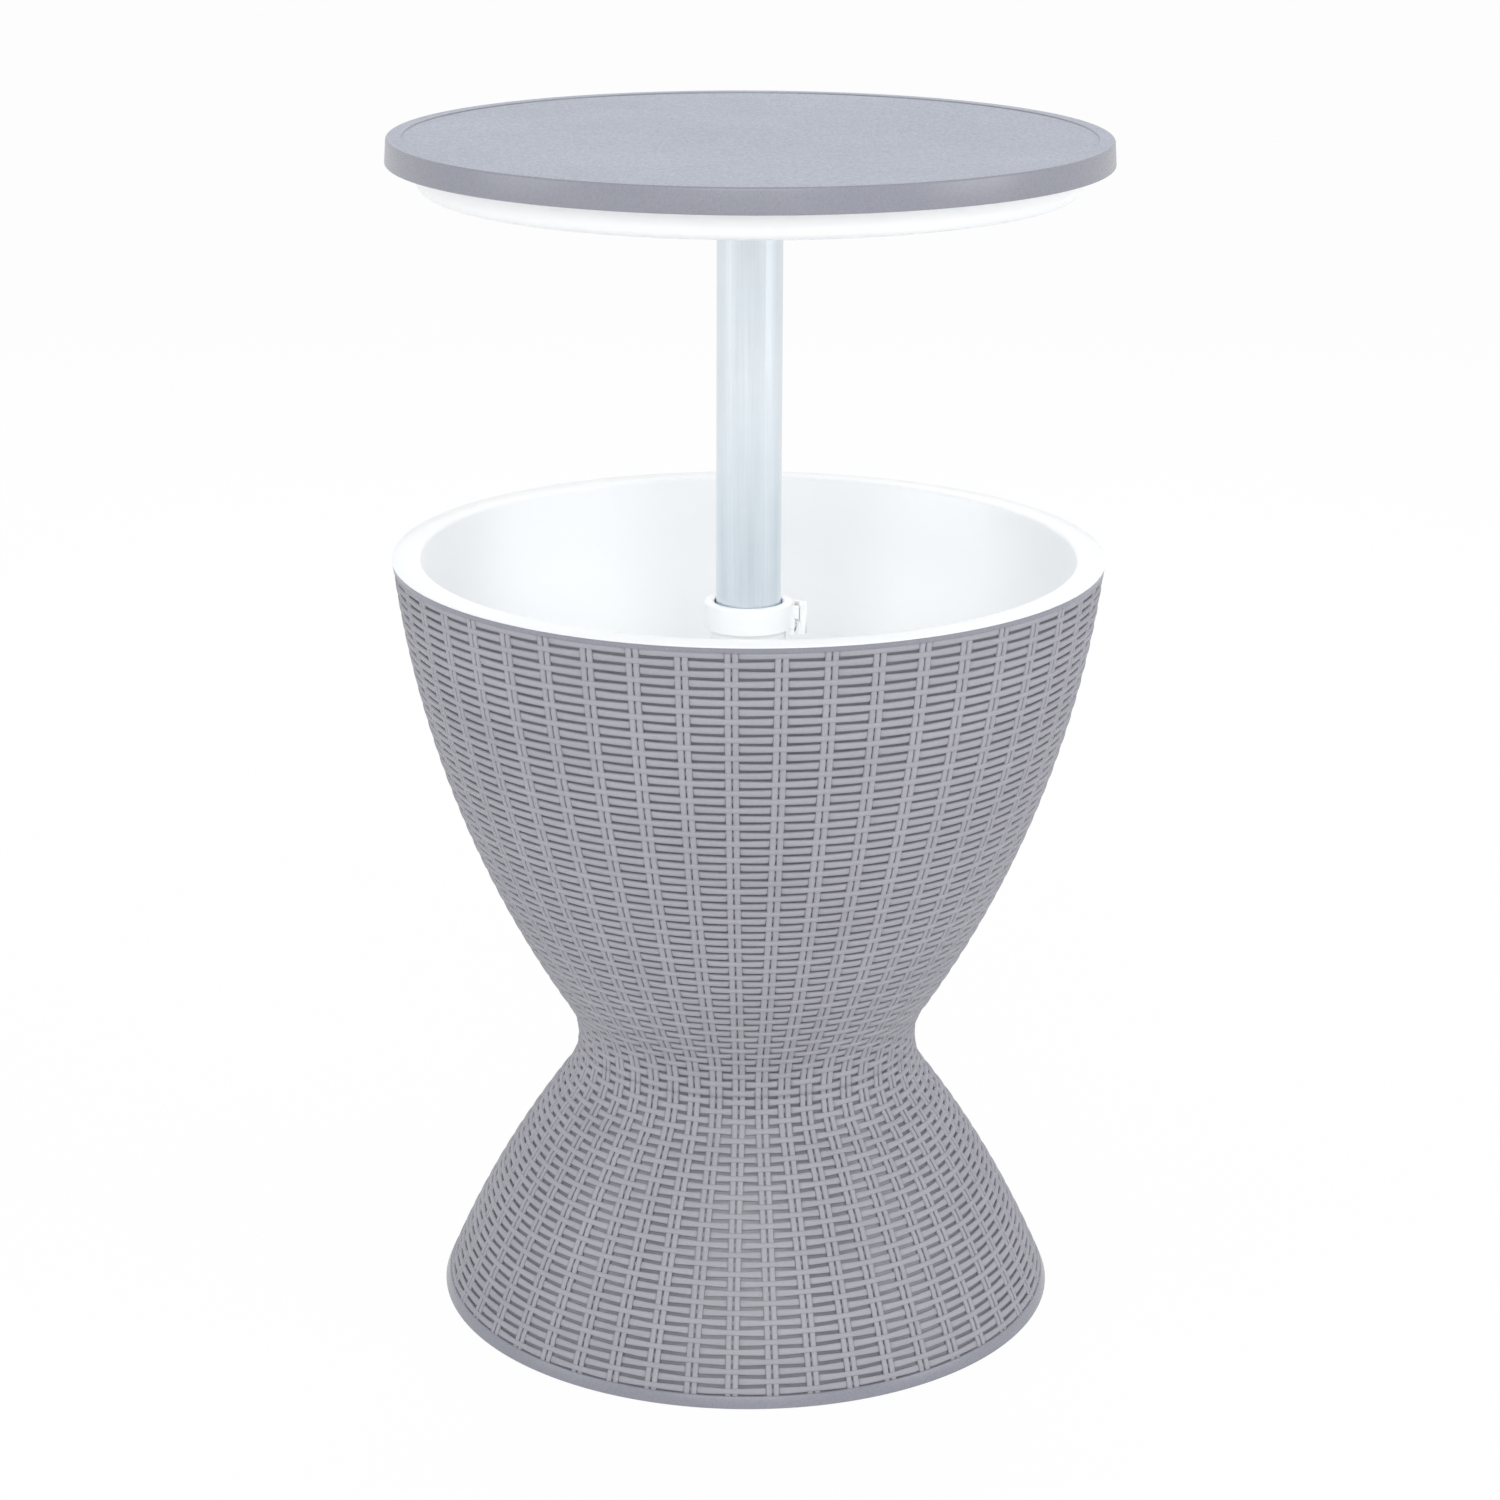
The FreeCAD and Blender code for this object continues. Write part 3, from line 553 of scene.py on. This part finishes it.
def layOnShell(tree, geometry, given, length, angle, aside, rise):
    # Places points by length up the outline, turn, distance aside and rise above the floor
    profile = {"Object": given["Profile"]}
    info = addNode(tree, "GeometryNodeObjectInfo", profile, transform_space="RELATIVE")
    curve = {"Curves": info.outputs["Geometry"]}
    sample = addNode(tree, "GeometryNodeSampleCurve", curve, mode="LENGTH")
    tree.links.new(length, sample.inputs["Length"])
    place = addNode(tree, "ShaderNodeSeparateXYZ", {0: sample.outputs["Position"]}).outputs
    lean = addNode(tree, "ShaderNodeSeparateXYZ", {0: sample.outputs["Tangent"]}).outputs
    out = calc(tree, "SUBTRACT", rise, outline["weaveDepth"])
    radius = calc(tree, "MULTIPLY_ADD", out, lean["Z"], place["X"])
    height = calc(tree, "SUBTRACT", place["Z"], calc(tree, "MULTIPLY", out, lean["X"]))
    turn = calc(tree, "ADD", angle, calc(tree, "DIVIDE", aside, radius))
    sideways = calc(tree, "MULTIPLY", radius, calc(tree, "SINE", turn))
    forward = calc(tree, "MULTIPLY", radius, calc(tree, "COSINE", turn))
    position = addNode(tree, "ShaderNodeCombineXYZ", {
        "X": sideways,
        "Y": calc(tree, "MULTIPLY", forward, -1.0),
        "Z": height,
    }).outputs[0]
    steps = [
        ("GeometryNodeSetPosition", {"Position": position}),
        ("GeometryNodeMergeByDistance", {"Distance": tinyGap}),
        ("GeometryNodeSetShadeSmooth", {}),
        ("GeometryNodeSetMaterial", {"Material": given["Material"]}),
    ]
    for kind, inputs in steps:
        geometry = addNode(tree, kind, {"Geometry": geometry} | inputs).outputs[0]
    tree.interface.new_socket("Geometry", in_out="OUTPUT", socket_type="NodeSocketGeometry")
    addNode(tree, "NodeGroupOutput", {0: geometry})


def weftTree(name, halfWidths):
    # Horizontal strands: each row goes over one pair of stakes and under the next
    tree, names = newTree(name, {
        "Profile": "Object",
        "Rows": "Int",
        "First Length": "Float",
        "Row Pitch": "Float",
        "First Row": "Int",
        "Material": "Material",
        "Seed": "Int",
    })
    given = addNode(tree, "NodeGroupInput").outputs
    steps = 2 * (len(halfWidths) - 1)  # from over a pair, under the next, to over the one after
    periods = weave["pairs"] // 2
    sheets = strandSheets(tree, given["Rows"], periods * steps + 1, given["Seed"])
    along = readAttribute(tree, "along")
    row = calc(tree, "ADD", readAttribute(tree, "strand"), given["First Row"])
    widthShare, riseShare = flatRound(tree, readAttribute(tree, "around"))
    step = calc(tree, "MODULO", along, steps)
    period = calc(tree, "FLOOR", calc(tree, "DIVIDE", along, steps))
    past = calc(tree, "GREATER_THAN", step, steps / 2)  # 1 in the half that mirrors the first
    station = calc(tree, "MINIMUM", step, calc(tree, "SUBTRACT", steps, step))
    side = calc(tree, "MULTIPLY_ADD", past, -2.0, 1.0)
    share = calc(tree, "MULTIPLY", pick(tree, station, weftStations["share"]), side)
    shift = calc(tree, "MULTIPLY", calc(tree, "MODULO", row, 2), -pairTurn)
    start = calc(tree, "ADD", shift, weave["firstPair"] + pairTurn)
    turns = calc(tree, "MULTIPLY_ADD", calc(tree, "ADD", period, past), 2.0, share)
    angle = calc(tree, "MULTIPLY_ADD", turns, pairTurn, start)
    aside = calc(tree, "MULTIPLY", pick(tree, station, weftStations["extra"]), side)
    half = pick(tree, station, halfWidths)
    drop = calc(tree, "MULTIPLY", row, given["Row Pitch"])
    centre = calc(tree, "SUBTRACT", given["First Length"], drop)
    length = calc(tree, "MULTIPLY_ADD", widthShare, half, centre)
    rise = strandRise(tree, pick(tree, station, weftStations["rise"]), riseShare)
    layOnShell(tree, sheets, given, length, angle, aside, rise)
    return tree, names


def stakeTree():
    # Upright strands in pairs, swelling a little where a weft passes behind them
    tree, names = newTree("stakes", {
        "Profile": "Object",
        "Rows": "Int",
        "First Length": "Float",
        "Row Pitch": "Float",
        "Start Length": "Float",
        "End Length": "Float",
        "Phase": "Int",
        "Stake Width": "Float",
        "Stake Gap": "Float",
        "Material": "Material",
        "Seed": "Int",
    })
    given = addNode(tree, "NodeGroupInput").outputs
    steps = calc(tree, "MULTIPLY", given["Rows"], 2)
    sheets = strandSheets(tree, 2 * weave["pairs"], calc(tree, "ADD", steps, 3), given["Seed"])
    strand = readAttribute(tree, "strand")
    along = readAttribute(tree, "along")
    widthShare, riseShare = flatRound(tree, readAttribute(tree, "around"))
    pair = calc(tree, "FLOOR", calc(tree, "DIVIDE", strand, 2))
    which = calc(tree, "MULTIPLY_ADD", calc(tree, "MODULO", strand, 2), 2.0, -1.0)  # -1 or 1
    angle = calc(tree, "MULTIPLY_ADD", pair, pairTurn, weave["firstPair"])
    step = calc(tree, "MAXIMUM", calc(tree, "SUBTRACT", along, 1), 0)
    step = calc(tree, "MINIMUM", step, steps)
    middleStep = calc(tree, "MULTIPLY_ADD", steps, 0.5, 1.0)
    reach = calc(tree, "MULTIPLY_ADD", steps, 0.5, 0.5)
    whole = calc(tree, "COMPARE", along, middleStep, reach)  # 0 only at the two caps
    span = calc(tree, "SUBTRACT", given["End Length"], given["Start Length"])
    share = calc(tree, "DIVIDE", step, steps)
    length = calc(tree, "MULTIPLY_ADD", share, span, given["Start Length"])
    drop = calc(tree, "SUBTRACT", given["First Length"], length)
    row = calc(tree, "DIVIDE", drop, given["Row Pitch"])
    beat = calc(tree, "ADD", calc(tree, "ADD", row, pair), given["Phase"])
    wave = calc(tree, "COSINE", calc(tree, "MULTIPLY", beat, pi))
    crown = calc(tree, "MULTIPLY_ADD", wave, weave["stakeWave"], weave["stakeRise"])
    rise = strandRise(tree, crown, calc(tree, "MULTIPLY", riseShare, whole))
    half = calc(tree, "MULTIPLY", given["Stake Width"], 0.5)
    offset = calc(tree, "MULTIPLY_ADD", given["Stake Gap"], 0.5, half)
    halfWidth = calc(tree, "MULTIPLY", calc(tree, "MULTIPLY", widthShare, whole), half)
    aside = calc(tree, "MULTIPLY_ADD", which, offset, halfWidth)
    layOnShell(tree, sheets, given, length, angle, aside, rise)
    return tree, names


def applyModifier(piece, modifier):
    # Keeps the modifier's result as a plain mesh
    bpy.context.view_layer.update()
    shown = piece.evaluated_get(bpy.context.evaluated_depsgraph_get())
    mesh = bpy.data.meshes.new_from_object(shown)
    piece.modifiers.remove(modifier)
    piece.data = mesh


def growStrands(name, tree, names, values):
    # Runs a tree on an empty mesh; every strand is part of the cooler
    piece = addObject(name, bpy.data.meshes.new(name))
    modifier = piece.modifiers.new(name, "NODES")
    modifier.node_group = tree
    for key, value in values.items():
        modifier[names[key]] = value
    applyModifier(piece, modifier)
    piece.data.name = name
    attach(piece, "cooler")
    print(name, len(piece.data.polygons), "faces")


def makeWeave():
    pitch = weave["rowPitch"]
    shared = {"Profile": shellCurve, "Row Pitch": pitch, "Material": finish["woven"]}
    firstUpper = {"First Length": weave["firstUpperRow"]}

    # Wefts; the upper ones are two pieces, so that neither has too many faces
    highRows = weave["upperRows"] // 2
    high = {"Rows": highRows, "Seed": 1}
    low = {"Rows": weave["upperRows"] - highRows, "First Row": highRows, "Seed": 2}
    base = {
        "First Length": weave["firstBaseRow"] + pitch,
        "First Row": 1,
        "Rows": weave["baseRows"],
        "Seed": 3,
    }
    upperWefts = weftTree("upperWefts", weftStations["upperHalf"])
    baseWefts = weftTree("baseWefts", weftStations["baseHalf"])
    growStrands("upper_wefts_high", *upperWefts, shared | firstUpper | high)
    growStrands("upper_wefts_low", *upperWefts, shared | firstUpper | low)
    growStrands("base_wefts", *baseWefts, shared | base)

    # Stakes, from the rim to the seam and from there to the foot
    lastUpperRow = weave["firstUpperRow"] - (weave["upperRows"] - 1) * pitch
    seam = (lastUpperRow + weave["firstBaseRow"]) / 2
    foot = weave["firstBaseRow"] - (weave["baseRows"] - 0.5) * pitch
    upper = {
        "Rows": weave["upperRows"],
        "Start Length": weave["firstUpperRow"] + pitch / 2,
        "End Length": seam,
        "Phase": 0,
        "Stake Width": weave["upperStakeWidth"],
        "Stake Gap": weave["upperStakeGap"],
        "Seed": 4,
    }
    base = {
        "First Length": weave["firstBaseRow"],
        "Rows": weave["baseRows"],
        "Start Length": seam,
        "End Length": foot - weave["footRunOn"],
        "Phase": 1,
        "Stake Width": weave["baseStakeWidth"],
        "Stake Gap": weave["baseStakeGap"],
        "Seed": 5,
    }
    stakes = stakeTree()
    growStrands("upper_stakes", *stakes, shared | firstUpper | upper)
    growStrands("base_stakes", *stakes, shared | base)


makeWeave()
bpy.data.objects.remove(shellCurve)
print("weave laid")


# Turned pieces

def roundedCorner(before, corner, after, rounding, steps):
    # Points of the arc that rounds a corner, in the plane of the outline
    mostOfSide = 0.48  # no arc takes up more of a side than this
    corner = Vector(corner[:2])
    back = Vector(before[:2]) - corner
    ahead = Vector(after[:2]) - corner
    halfTurn = back.angle(ahead) / 2
    reach = min(rounding / tan(halfTurn), mostOfSide * min(back.length, ahead.length))
    rounding = reach * tan(halfTurn)
    back.normalize()
    ahead.normalize()
    centre = corner + (back + ahead).normalized() * rounding / sin(halfTurn)
    first = corner + back * reach - centre
    last = corner + ahead * reach - centre
    turn = first.angle(last)
    points = []
    for step in range(steps + 1):
        share = step / steps
        mixed = first * sin((1 - share) * turn) + last * sin(share * turn)
        points.append(centre + mixed / sin(turn))
    return points


def roundedOutline(corners, steps):
    # Closed outline from corners given as (radius, height) or (radius, height, rounding)
    points = []
    for number, corner in enumerate(corners):
        if len(corner) == 3:
            before = corners[number - 1]
            after = corners[(number + 1) % len(corners)]
            points += roundedCorner(before, corner, after, corner[2], steps)
        else:
            points.append(Vector(corner))
    return points


def spinOutline(name, points, segments):
    # Solid turned about the pole's axis; points on the axis become single corners
    mesh = bmesh.new()
    turns = [2 * pi * step / segments for step in range(segments)]
    rings = []
    for radius, height in points:
        if radius < tinyGap:
            rings.append([mesh.verts.new((0, 0, height))] * segments)
            continue
        rings.append([mesh.verts.new((radius * sin(t), -radius * cos(t), height)) for t in turns])
    for here, there in zip(rings, rings[1:] + rings[:1]):
        if here[0] is here[1] and there[0] is there[1]:
            continue
        for step in range(segments):
            onward = (step + 1) % segments
            corners = [here[step], here[onward], there[onward], there[step]]
            mesh.faces.new(dict.fromkeys(corners))
    bmesh.ops.recalc_face_normals(mesh, faces=mesh.faces)
    result = bpy.data.meshes.new(name)
    mesh.to_mesh(result)
    mesh.free()
    return result


def smoothEdges(mesh):
    sharpAngle = radians(32)
    mesh.polygons.foreach_set("use_smooth", [True] * len(mesh.polygons))
    mesh.set_sharp_from_angle(angle=sharpAngle)


def dress(piece, body, slot, *materials):
    # Smooth shading, materials and body; the slot is not used
    smoothEdges(piece.data)
    for material in materials:
        piece.data.materials.append(material)
    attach(piece, body)


tableTop = {
    "height": 0.0172,
    "draft": 0.0012,
    "wall": 0.0032,
    "border": 0.0108,
    "recess": 0.0009,
    "stepRun": 0.0002,
    "edgeRounding": 0.0018,
    "hemRounding": 0.0008,
    "stepRounding": 0.0003,
    "segments": 256,
    "cornerSteps": 5,
    "sandedLitTilt": 0.95,  # faces that point up more than this are sanded, their lighter tone partly painted light from above
    "sandedLitSlack": 0.00001,
}


def makeTableTop():
    size = tableTop
    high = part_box("table_top")[1]
    outer = high.x
    face = high.z
    base = face - size["height"]
    upper = outer - size["draft"]
    recessFace = face - size["recess"]
    inner = upper - size["border"]
    underside = recessFace - size["wall"]
    corners = [
        (0, recessFace),
        (inner, recessFace, size["stepRounding"]),
        (inner + size["stepRun"], face, size["stepRounding"]),
        (upper, face, size["edgeRounding"]),
        (outer, base, size["hemRounding"]),
        (outer - size["wall"], base),
        (upper - size["wall"], underside),
        (0, underside),
    ]
    points = roundedOutline(corners, size["cornerSteps"])
    piece = addObject("table_top_skin", spinOutline("table_top_skin", points, size["segments"]))
    dress(piece, "top", "taupe_plastic", finish["smoothTaupe"], finish["sandedLitTaupe"])
    # Up-facing top faces take the sanded plastic, whose lighter tone is partly painted light from
    # above
    sandedLitFrom = recessFace - size["sandedLitSlack"]
    for polygon in piece.data.polygons:
        flat = polygon.normal.z > size["sandedLitTilt"]
        polygon.material_index = flat and polygon.center.z > sandedLitFrom
    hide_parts("table_top")


lidDish = {
    "hole": 0.02735,
    "radius": 0.2275,
    "flangeRadius": 0.2437,
    "wall": 0.003,
    "corner": 0.011,
    "edgeRounding": 0.001,
    "segments": 256,
    "cornerSteps": 8,
}


def makeLidDish():
    size = lidDish
    low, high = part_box("lid_underside")
    hole = size["hole"]
    wall = size["wall"]
    floor = low.z
    flange = high.z - wall
    inside = size["radius"] - wall
    corners = [
        (hole, floor),
        (size["radius"], floor, size["corner"]),
        (size["radius"], flange, size["edgeRounding"]),
        (size["flangeRadius"], flange),
        (size["flangeRadius"], flange + wall),
        (inside, flange + wall),
        (inside, floor + wall, size["corner"] - wall),
        (hole, floor + wall),
    ]
    points = roundedOutline(corners, size["cornerSteps"])
    piece = addObject("lid_dish_skin", spinOutline("lid_dish_skin", points, size["segments"]))
    dress(piece, "top", "white_plastic", finish["white"])
    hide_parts("lid_underside")


shellSkin = {
    "segments": 192,
    "cornerSteps": 3,
    "ringSpacing": 0.0035,
    "bandRounding": 0.0004,
    "footRounding": 0.0006,
    "floorSlack": 0.0003,  # faces this near to the recess floor are part of it
    "plate": 0.004,
    "spigotRadius": 0.070,
    "spigotWall": 0.0035,
    "spigotRise": 0.003,
    "spigotGap": 0.0003,
    "columnHole": 0.0268,
    "drainHole": 0.0103,
    "drainOffset": 0.085,
    "screws": 6,
    "screwCircle": 0.095,
    "upperScrewHole": 0.00245,
    "baseScrewHole": 0.0027,
    "bossRadius": 0.007,
    "bossHeight": 0.0145,
    "postSegments": 48,
    "overrun": 0.001,  # how far a cutter reaches past what it cuts
}


def atScrews(radius, low, high):
    # One upright post at each waist screw
    turns = [2 * pi * number / shellSkin["screws"] for number in range(shellSkin["screws"])]
    circle = shellSkin["screwCircle"]
    return [(radius, low, high, circle * cos(turn), circle * sin(turn)) for turn in turns]


def combine(piece, operation, posts):
    # Adds upright posts to a piece, or cuts them from it; each has a radius, low, high, x and y
    cutter = bmesh.new()
    for radius, low, high, x, y in posts:
        corners = [(0, low), (radius, low), (radius, high), (0, high)]
        mesh = spinOutline("post", corners, shellSkin["postSegments"])
        mesh.transform(Matrix.Translation((x, y, 0)))
        cutter.from_mesh(mesh)
    mesh = bpy.data.meshes.new("posts")
    cutter.to_mesh(mesh)
    cutter.free()
    tool = addObject("posts", mesh)
    modifier = piece.modifiers.new("posts", "BOOLEAN")
    modifier.operation = operation
    modifier.solver = "EXACT"
    modifier.object = tool
    applyModifier(piece, modifier)
    bpy.data.objects.remove(tool)


def shellPiece(node, corners):
    # Turned shell, not yet dressed
    points = roundedOutline(corners, shellSkin["cornerSteps"])
    return addObject(node + "_skin", spinOutline(node + "_skin", points, shellSkin["segments"]))


def dressShell(piece, node):
    # Recess floor glossy and darkened with painted shade, bands and inner faces satin
    dress(piece, "cooler", "taupe_plastic", finish["smoothTaupe"], finish["recess"])
    for polygon in piece.data.polygons:
        centre = polygon.center
        height = min(max(centre.z, 0.0), outline["shellTop"])
        floor = shellRadius(height, outline["weaveDepth"])
        offFloor = abs(hypot(centre.x, centre.y) - floor)
        # Faces on the recess floor get its darker plastic, painted shade for the gaps
        polygon.material_index = offFloor < shellSkin["floorSlack"]
    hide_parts(node)


def makeUpperSkin():
    size = shellSkin
    over = size["overrun"]
    seam = outline["seamHeight"]
    top = outline["shellTop"]
    band = top - outline["rimBand"]
    plateTop = seam + size["plate"]
    bossTop = plateTop + size["bossHeight"]
    hole = size["spigotRadius"] + size["spigotGap"]
    wall = outline["weaveDepth"] + outline["shellWall"]
    inside = outlineStations(wall, plateTop, top, 2 * size["ringSpacing"])
    outside = outlineStations(outline["weaveDepth"], seam, band, size["ringSpacing"])
    rim = [(shellRadius(height), height, size["bandRounding"]) for height in (top, band)]
    corners = [(hole, plateTop)] + inside + rim + outside[::-1] + [(hole, seam)]
    piece = shellPiece("upper_shell", corners)
    combine(piece, "UNION", atScrews(size["bossRadius"], seam + over, bossTop))
    holes = atScrews(size["upperScrewHole"], seam - over, bossTop + over)
    holes.append((size["drainHole"], seam - over, plateTop + over, 0.0, size["drainOffset"]))
    combine(piece, "DIFFERENCE", holes)
    dressShell(piece, "upper_shell")


def makeBaseSkin():
    size = shellSkin
    over = size["overrun"]
    seam = outline["seamHeight"]
    band = outline["footBand"]
    plateBase = seam - size["plate"]
    spigotTop = seam + size["plate"] + size["spigotRise"]
    spigot = size["spigotRadius"]
    spigotInside = spigot - size["spigotWall"]
    wall = outline["weaveDepth"] + outline["shellWall"]
    inside = outlineStations(wall, 0.0, plateBase, 2 * size["ringSpacing"])
    outside = outlineStations(outline["weaveDepth"], band, seam, size["ringSpacing"])
    foot = [(shellRadius(height), height, size["footRounding"]) for height in (0.0, band)]
    rise = [(spigot, seam), (spigot, spigotTop), (spigotInside, spigotTop), (spigotInside, seam)]
    corners = [(size["columnHole"], plateBase)] + inside[::-1] + foot + outside + rise
    corners.append((size["columnHole"], seam))
    piece = shellPiece("base_shell", corners)
    holes = atScrews(size["baseScrewHole"], plateBase - over, seam + over)
    holes.append((size["drainHole"], plateBase - over, seam + over, 0.0, size["drainOffset"]))
    combine(piece, "DIFFERENCE", holes)
    dressShell(piece, "base_shell")


# Slot, finish and nodes of the pieces that keep the solid's own shape
plainPieces = [
    ("white_plastic", "white", ["bucket", "centre_column", "column_nut", "lock_collar",
                                "lock_lever", "pole_socket", "drain_spout", "drain_nut",
                                "drain_plug"]),
    ("aluminium", "aluminium", ["pole"]),
    ("grey_plastic", "greyPlastic", ["pole_foot"]),
    ("white_plastic", "white", ["guide_bush"]),
    ("steel", "steel", ["lid_screws", "socket_screws", "socket_pin", "foot_pin", "waist_screws",
                        "collar_screws", "lever_pin", "lever_spring"]),
    ("rubber", "rubber", ["brake_shoe", "column_seal", "drain_seal", "plug_ring"]),
    ("foam", "foam", ["bucket_insulation", "lid_insulation"]),
]


def smoothCopy(node, slot, material):
    # The solid's own shape, merged and smooth shaded
    piece = addObject(node + "_skin", frame["nodes"][node].data.copy())
    mesh = bmesh.new()
    mesh.from_mesh(piece.data)
    bmesh.ops.remove_doubles(mesh, verts=mesh.verts, dist=tinyGap)
    mesh.to_mesh(piece.data)
    mesh.free()
    piece.data.materials.clear()
    bodies = frame["record"]["behaviour"]["bodies"]
    body = next(name for name, members in bodies.items() if node in members)
    dress(piece, body, slot, material)
    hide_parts(node)


makeTableTop()
makeLidDish()
makeUpperSkin()
makeBaseSkin()
for slot, look, nodes in plainPieces:
    for node in nodes:
        smoothCopy(node, slot, finish[look])
print("pieces made")


# Floor, light and camera

stage = {
    "floorSize": 60.0,
    "floorDrop": 0.0002,
    "floorTone": (0.92, 0.92, 0.92, 1),
    "floorShare": 0.96,  # of white in the floor as it is seen; the rest keeps the shadow
    "worldTone": (0.965, 0.98, 1.0, 1),
    "worldStrength": 0.58,
    "white": 1.0,
}

lamps = {
    "frontLamp": {
        "place": (-0.1, -2.8, 2.05),
        "target": (0, 0, 0.45),
        "size": (2.4, 1.4),
        "power": 37.0,
        "mirrored": True,
    },
    "rightLamp": {
        "place": (2.85, -1.0, 1.55),
        "target": (0, 0, 0.5),
        "size": (1.6, 1.6),
        "power": 24.5,
        "mirrored": True,
    },
    "leftLamp": {
        "place": (-2.85, -1.0, 1.55),
        "target": (0, 0, 0.5),
        "size": (1.6, 1.6),
        "power": 16.0,
        "mirrored": True,
    },
    "backLamp": {
        "place": (0.0, 2.6, 2.2),
        "target": (0, 0, 0.6),
        "size": (2.4, 1.2),
        "power": 34.0,
        "mirrored": False,
    },
}


def seenDirectly(tree):
    # 1 for what the camera sees itself, in a reflection or through glass
    rays = addNode(tree, "ShaderNodeLightPath").outputs
    seen = calc(tree, "MAXIMUM", rays["Is Camera Ray"], rays["Is Glossy Ray"])
    return calc(tree, "MAXIMUM", seen, rays["Is Transmission Ray"])


def makeFloor():
    bpy.ops.mesh.primitive_plane_add(size=stage["floorSize"])
    floor = bpy.context.object
    floor.name = "floor"
    material = bpy.data.materials.new("palePaper")
    material.use_nodes = True
    tree = material.node_tree
    tree.nodes.clear()
    plain = addNode(tree, "ShaderNodeBsdfDiffuse", {"Color": stage["floorTone"]}).outputs[0]
    white = addNode(tree, "ShaderNodeEmission", {"Strength": stage["white"]}).outputs[0]
    share = calc(tree, "MULTIPLY", seenDirectly(tree), stage["floorShare"])
    mix = addNode(tree, "ShaderNodeMixShader", {0: share, 1: plain, 2: white}).outputs[0]
    addNode(tree, "ShaderNodeOutputMaterial", {"Surface": mix})
    floor.data.materials.append(material)
    floor.location.z = -stage["floorDrop"]


def makeWorld():
    world = bpy.data.worlds.new("studio")
    bpy.context.scene.world = world
    world.use_nodes = True
    tree = world.node_tree
    tree.nodes.clear()
    kind = "ShaderNodeBackground"
    soft = {"Color": stage["worldTone"], "Strength": stage["worldStrength"]}
    white = {"Color": (1, 1, 1, 1), "Strength": stage["white"]}
    softLight, whiteLight = [addNode(tree, kind, inputs).outputs[0] for inputs in (soft, white)]
    shares = {0: seenDirectly(tree), 1: softLight, 2: whiteLight}
    mix = addNode(tree, "ShaderNodeMixShader", shares).outputs[0]
    addNode(tree, "ShaderNodeOutputWorld", {"Surface": mix})


def addLamp(name, place, target, size, power, mirrored):
    # Soft lamp that faces its target; one that isn't mirrored shows in no reflection
    light = bpy.data.lights.new(name, "AREA")
    light.shape = "RECTANGLE"
    light.size, light.size_y = size
    light.energy = power
    lamp = addObject(name, light)
    lamp.visible_glossy = mirrored
    lamp.location = place
    lamp.rotation_euler = (Vector(target) - Vector(place)).to_track_quat("-Z", "Y").to_euler()


view = {
    "distance": 2.3978,
    "height": 1.15857,
    "pitch": 0.304216,
    "roll": 0.004172,
    "sensorWidth": 36.0,
    "focalPixels": 3517.75,
    "centreX": 747.9,
    "framePixels": 1500,
}


def makeCamera():
    width = view["framePixels"]
    camera = bpy.data.cameras.new("camera")
    camera.sensor_width = view["sensorWidth"]
    camera.lens = view["focalPixels"] * view["sensorWidth"] / width
    camera.shift_x = (width / 2 - view["centreX"]) / width
    piece = addObject("camera", camera)
    tilt = Matrix.Rotation(pi / 2 - view["pitch"], 4, "X")
    aim = tilt @ Matrix.Rotation(view["roll"], 4, "Z")
    piece.matrix_world = Matrix.Translation((0, -view["distance"], view["height"])) @ aim
    bpy.context.scene.camera = piece


makeFloor()
makeWorld()
for name, values in lamps.items():
    addLamp(name, **values)
makeCamera()
bpy.context.scene.view_settings.view_transform = "Standard"
print("stage set")
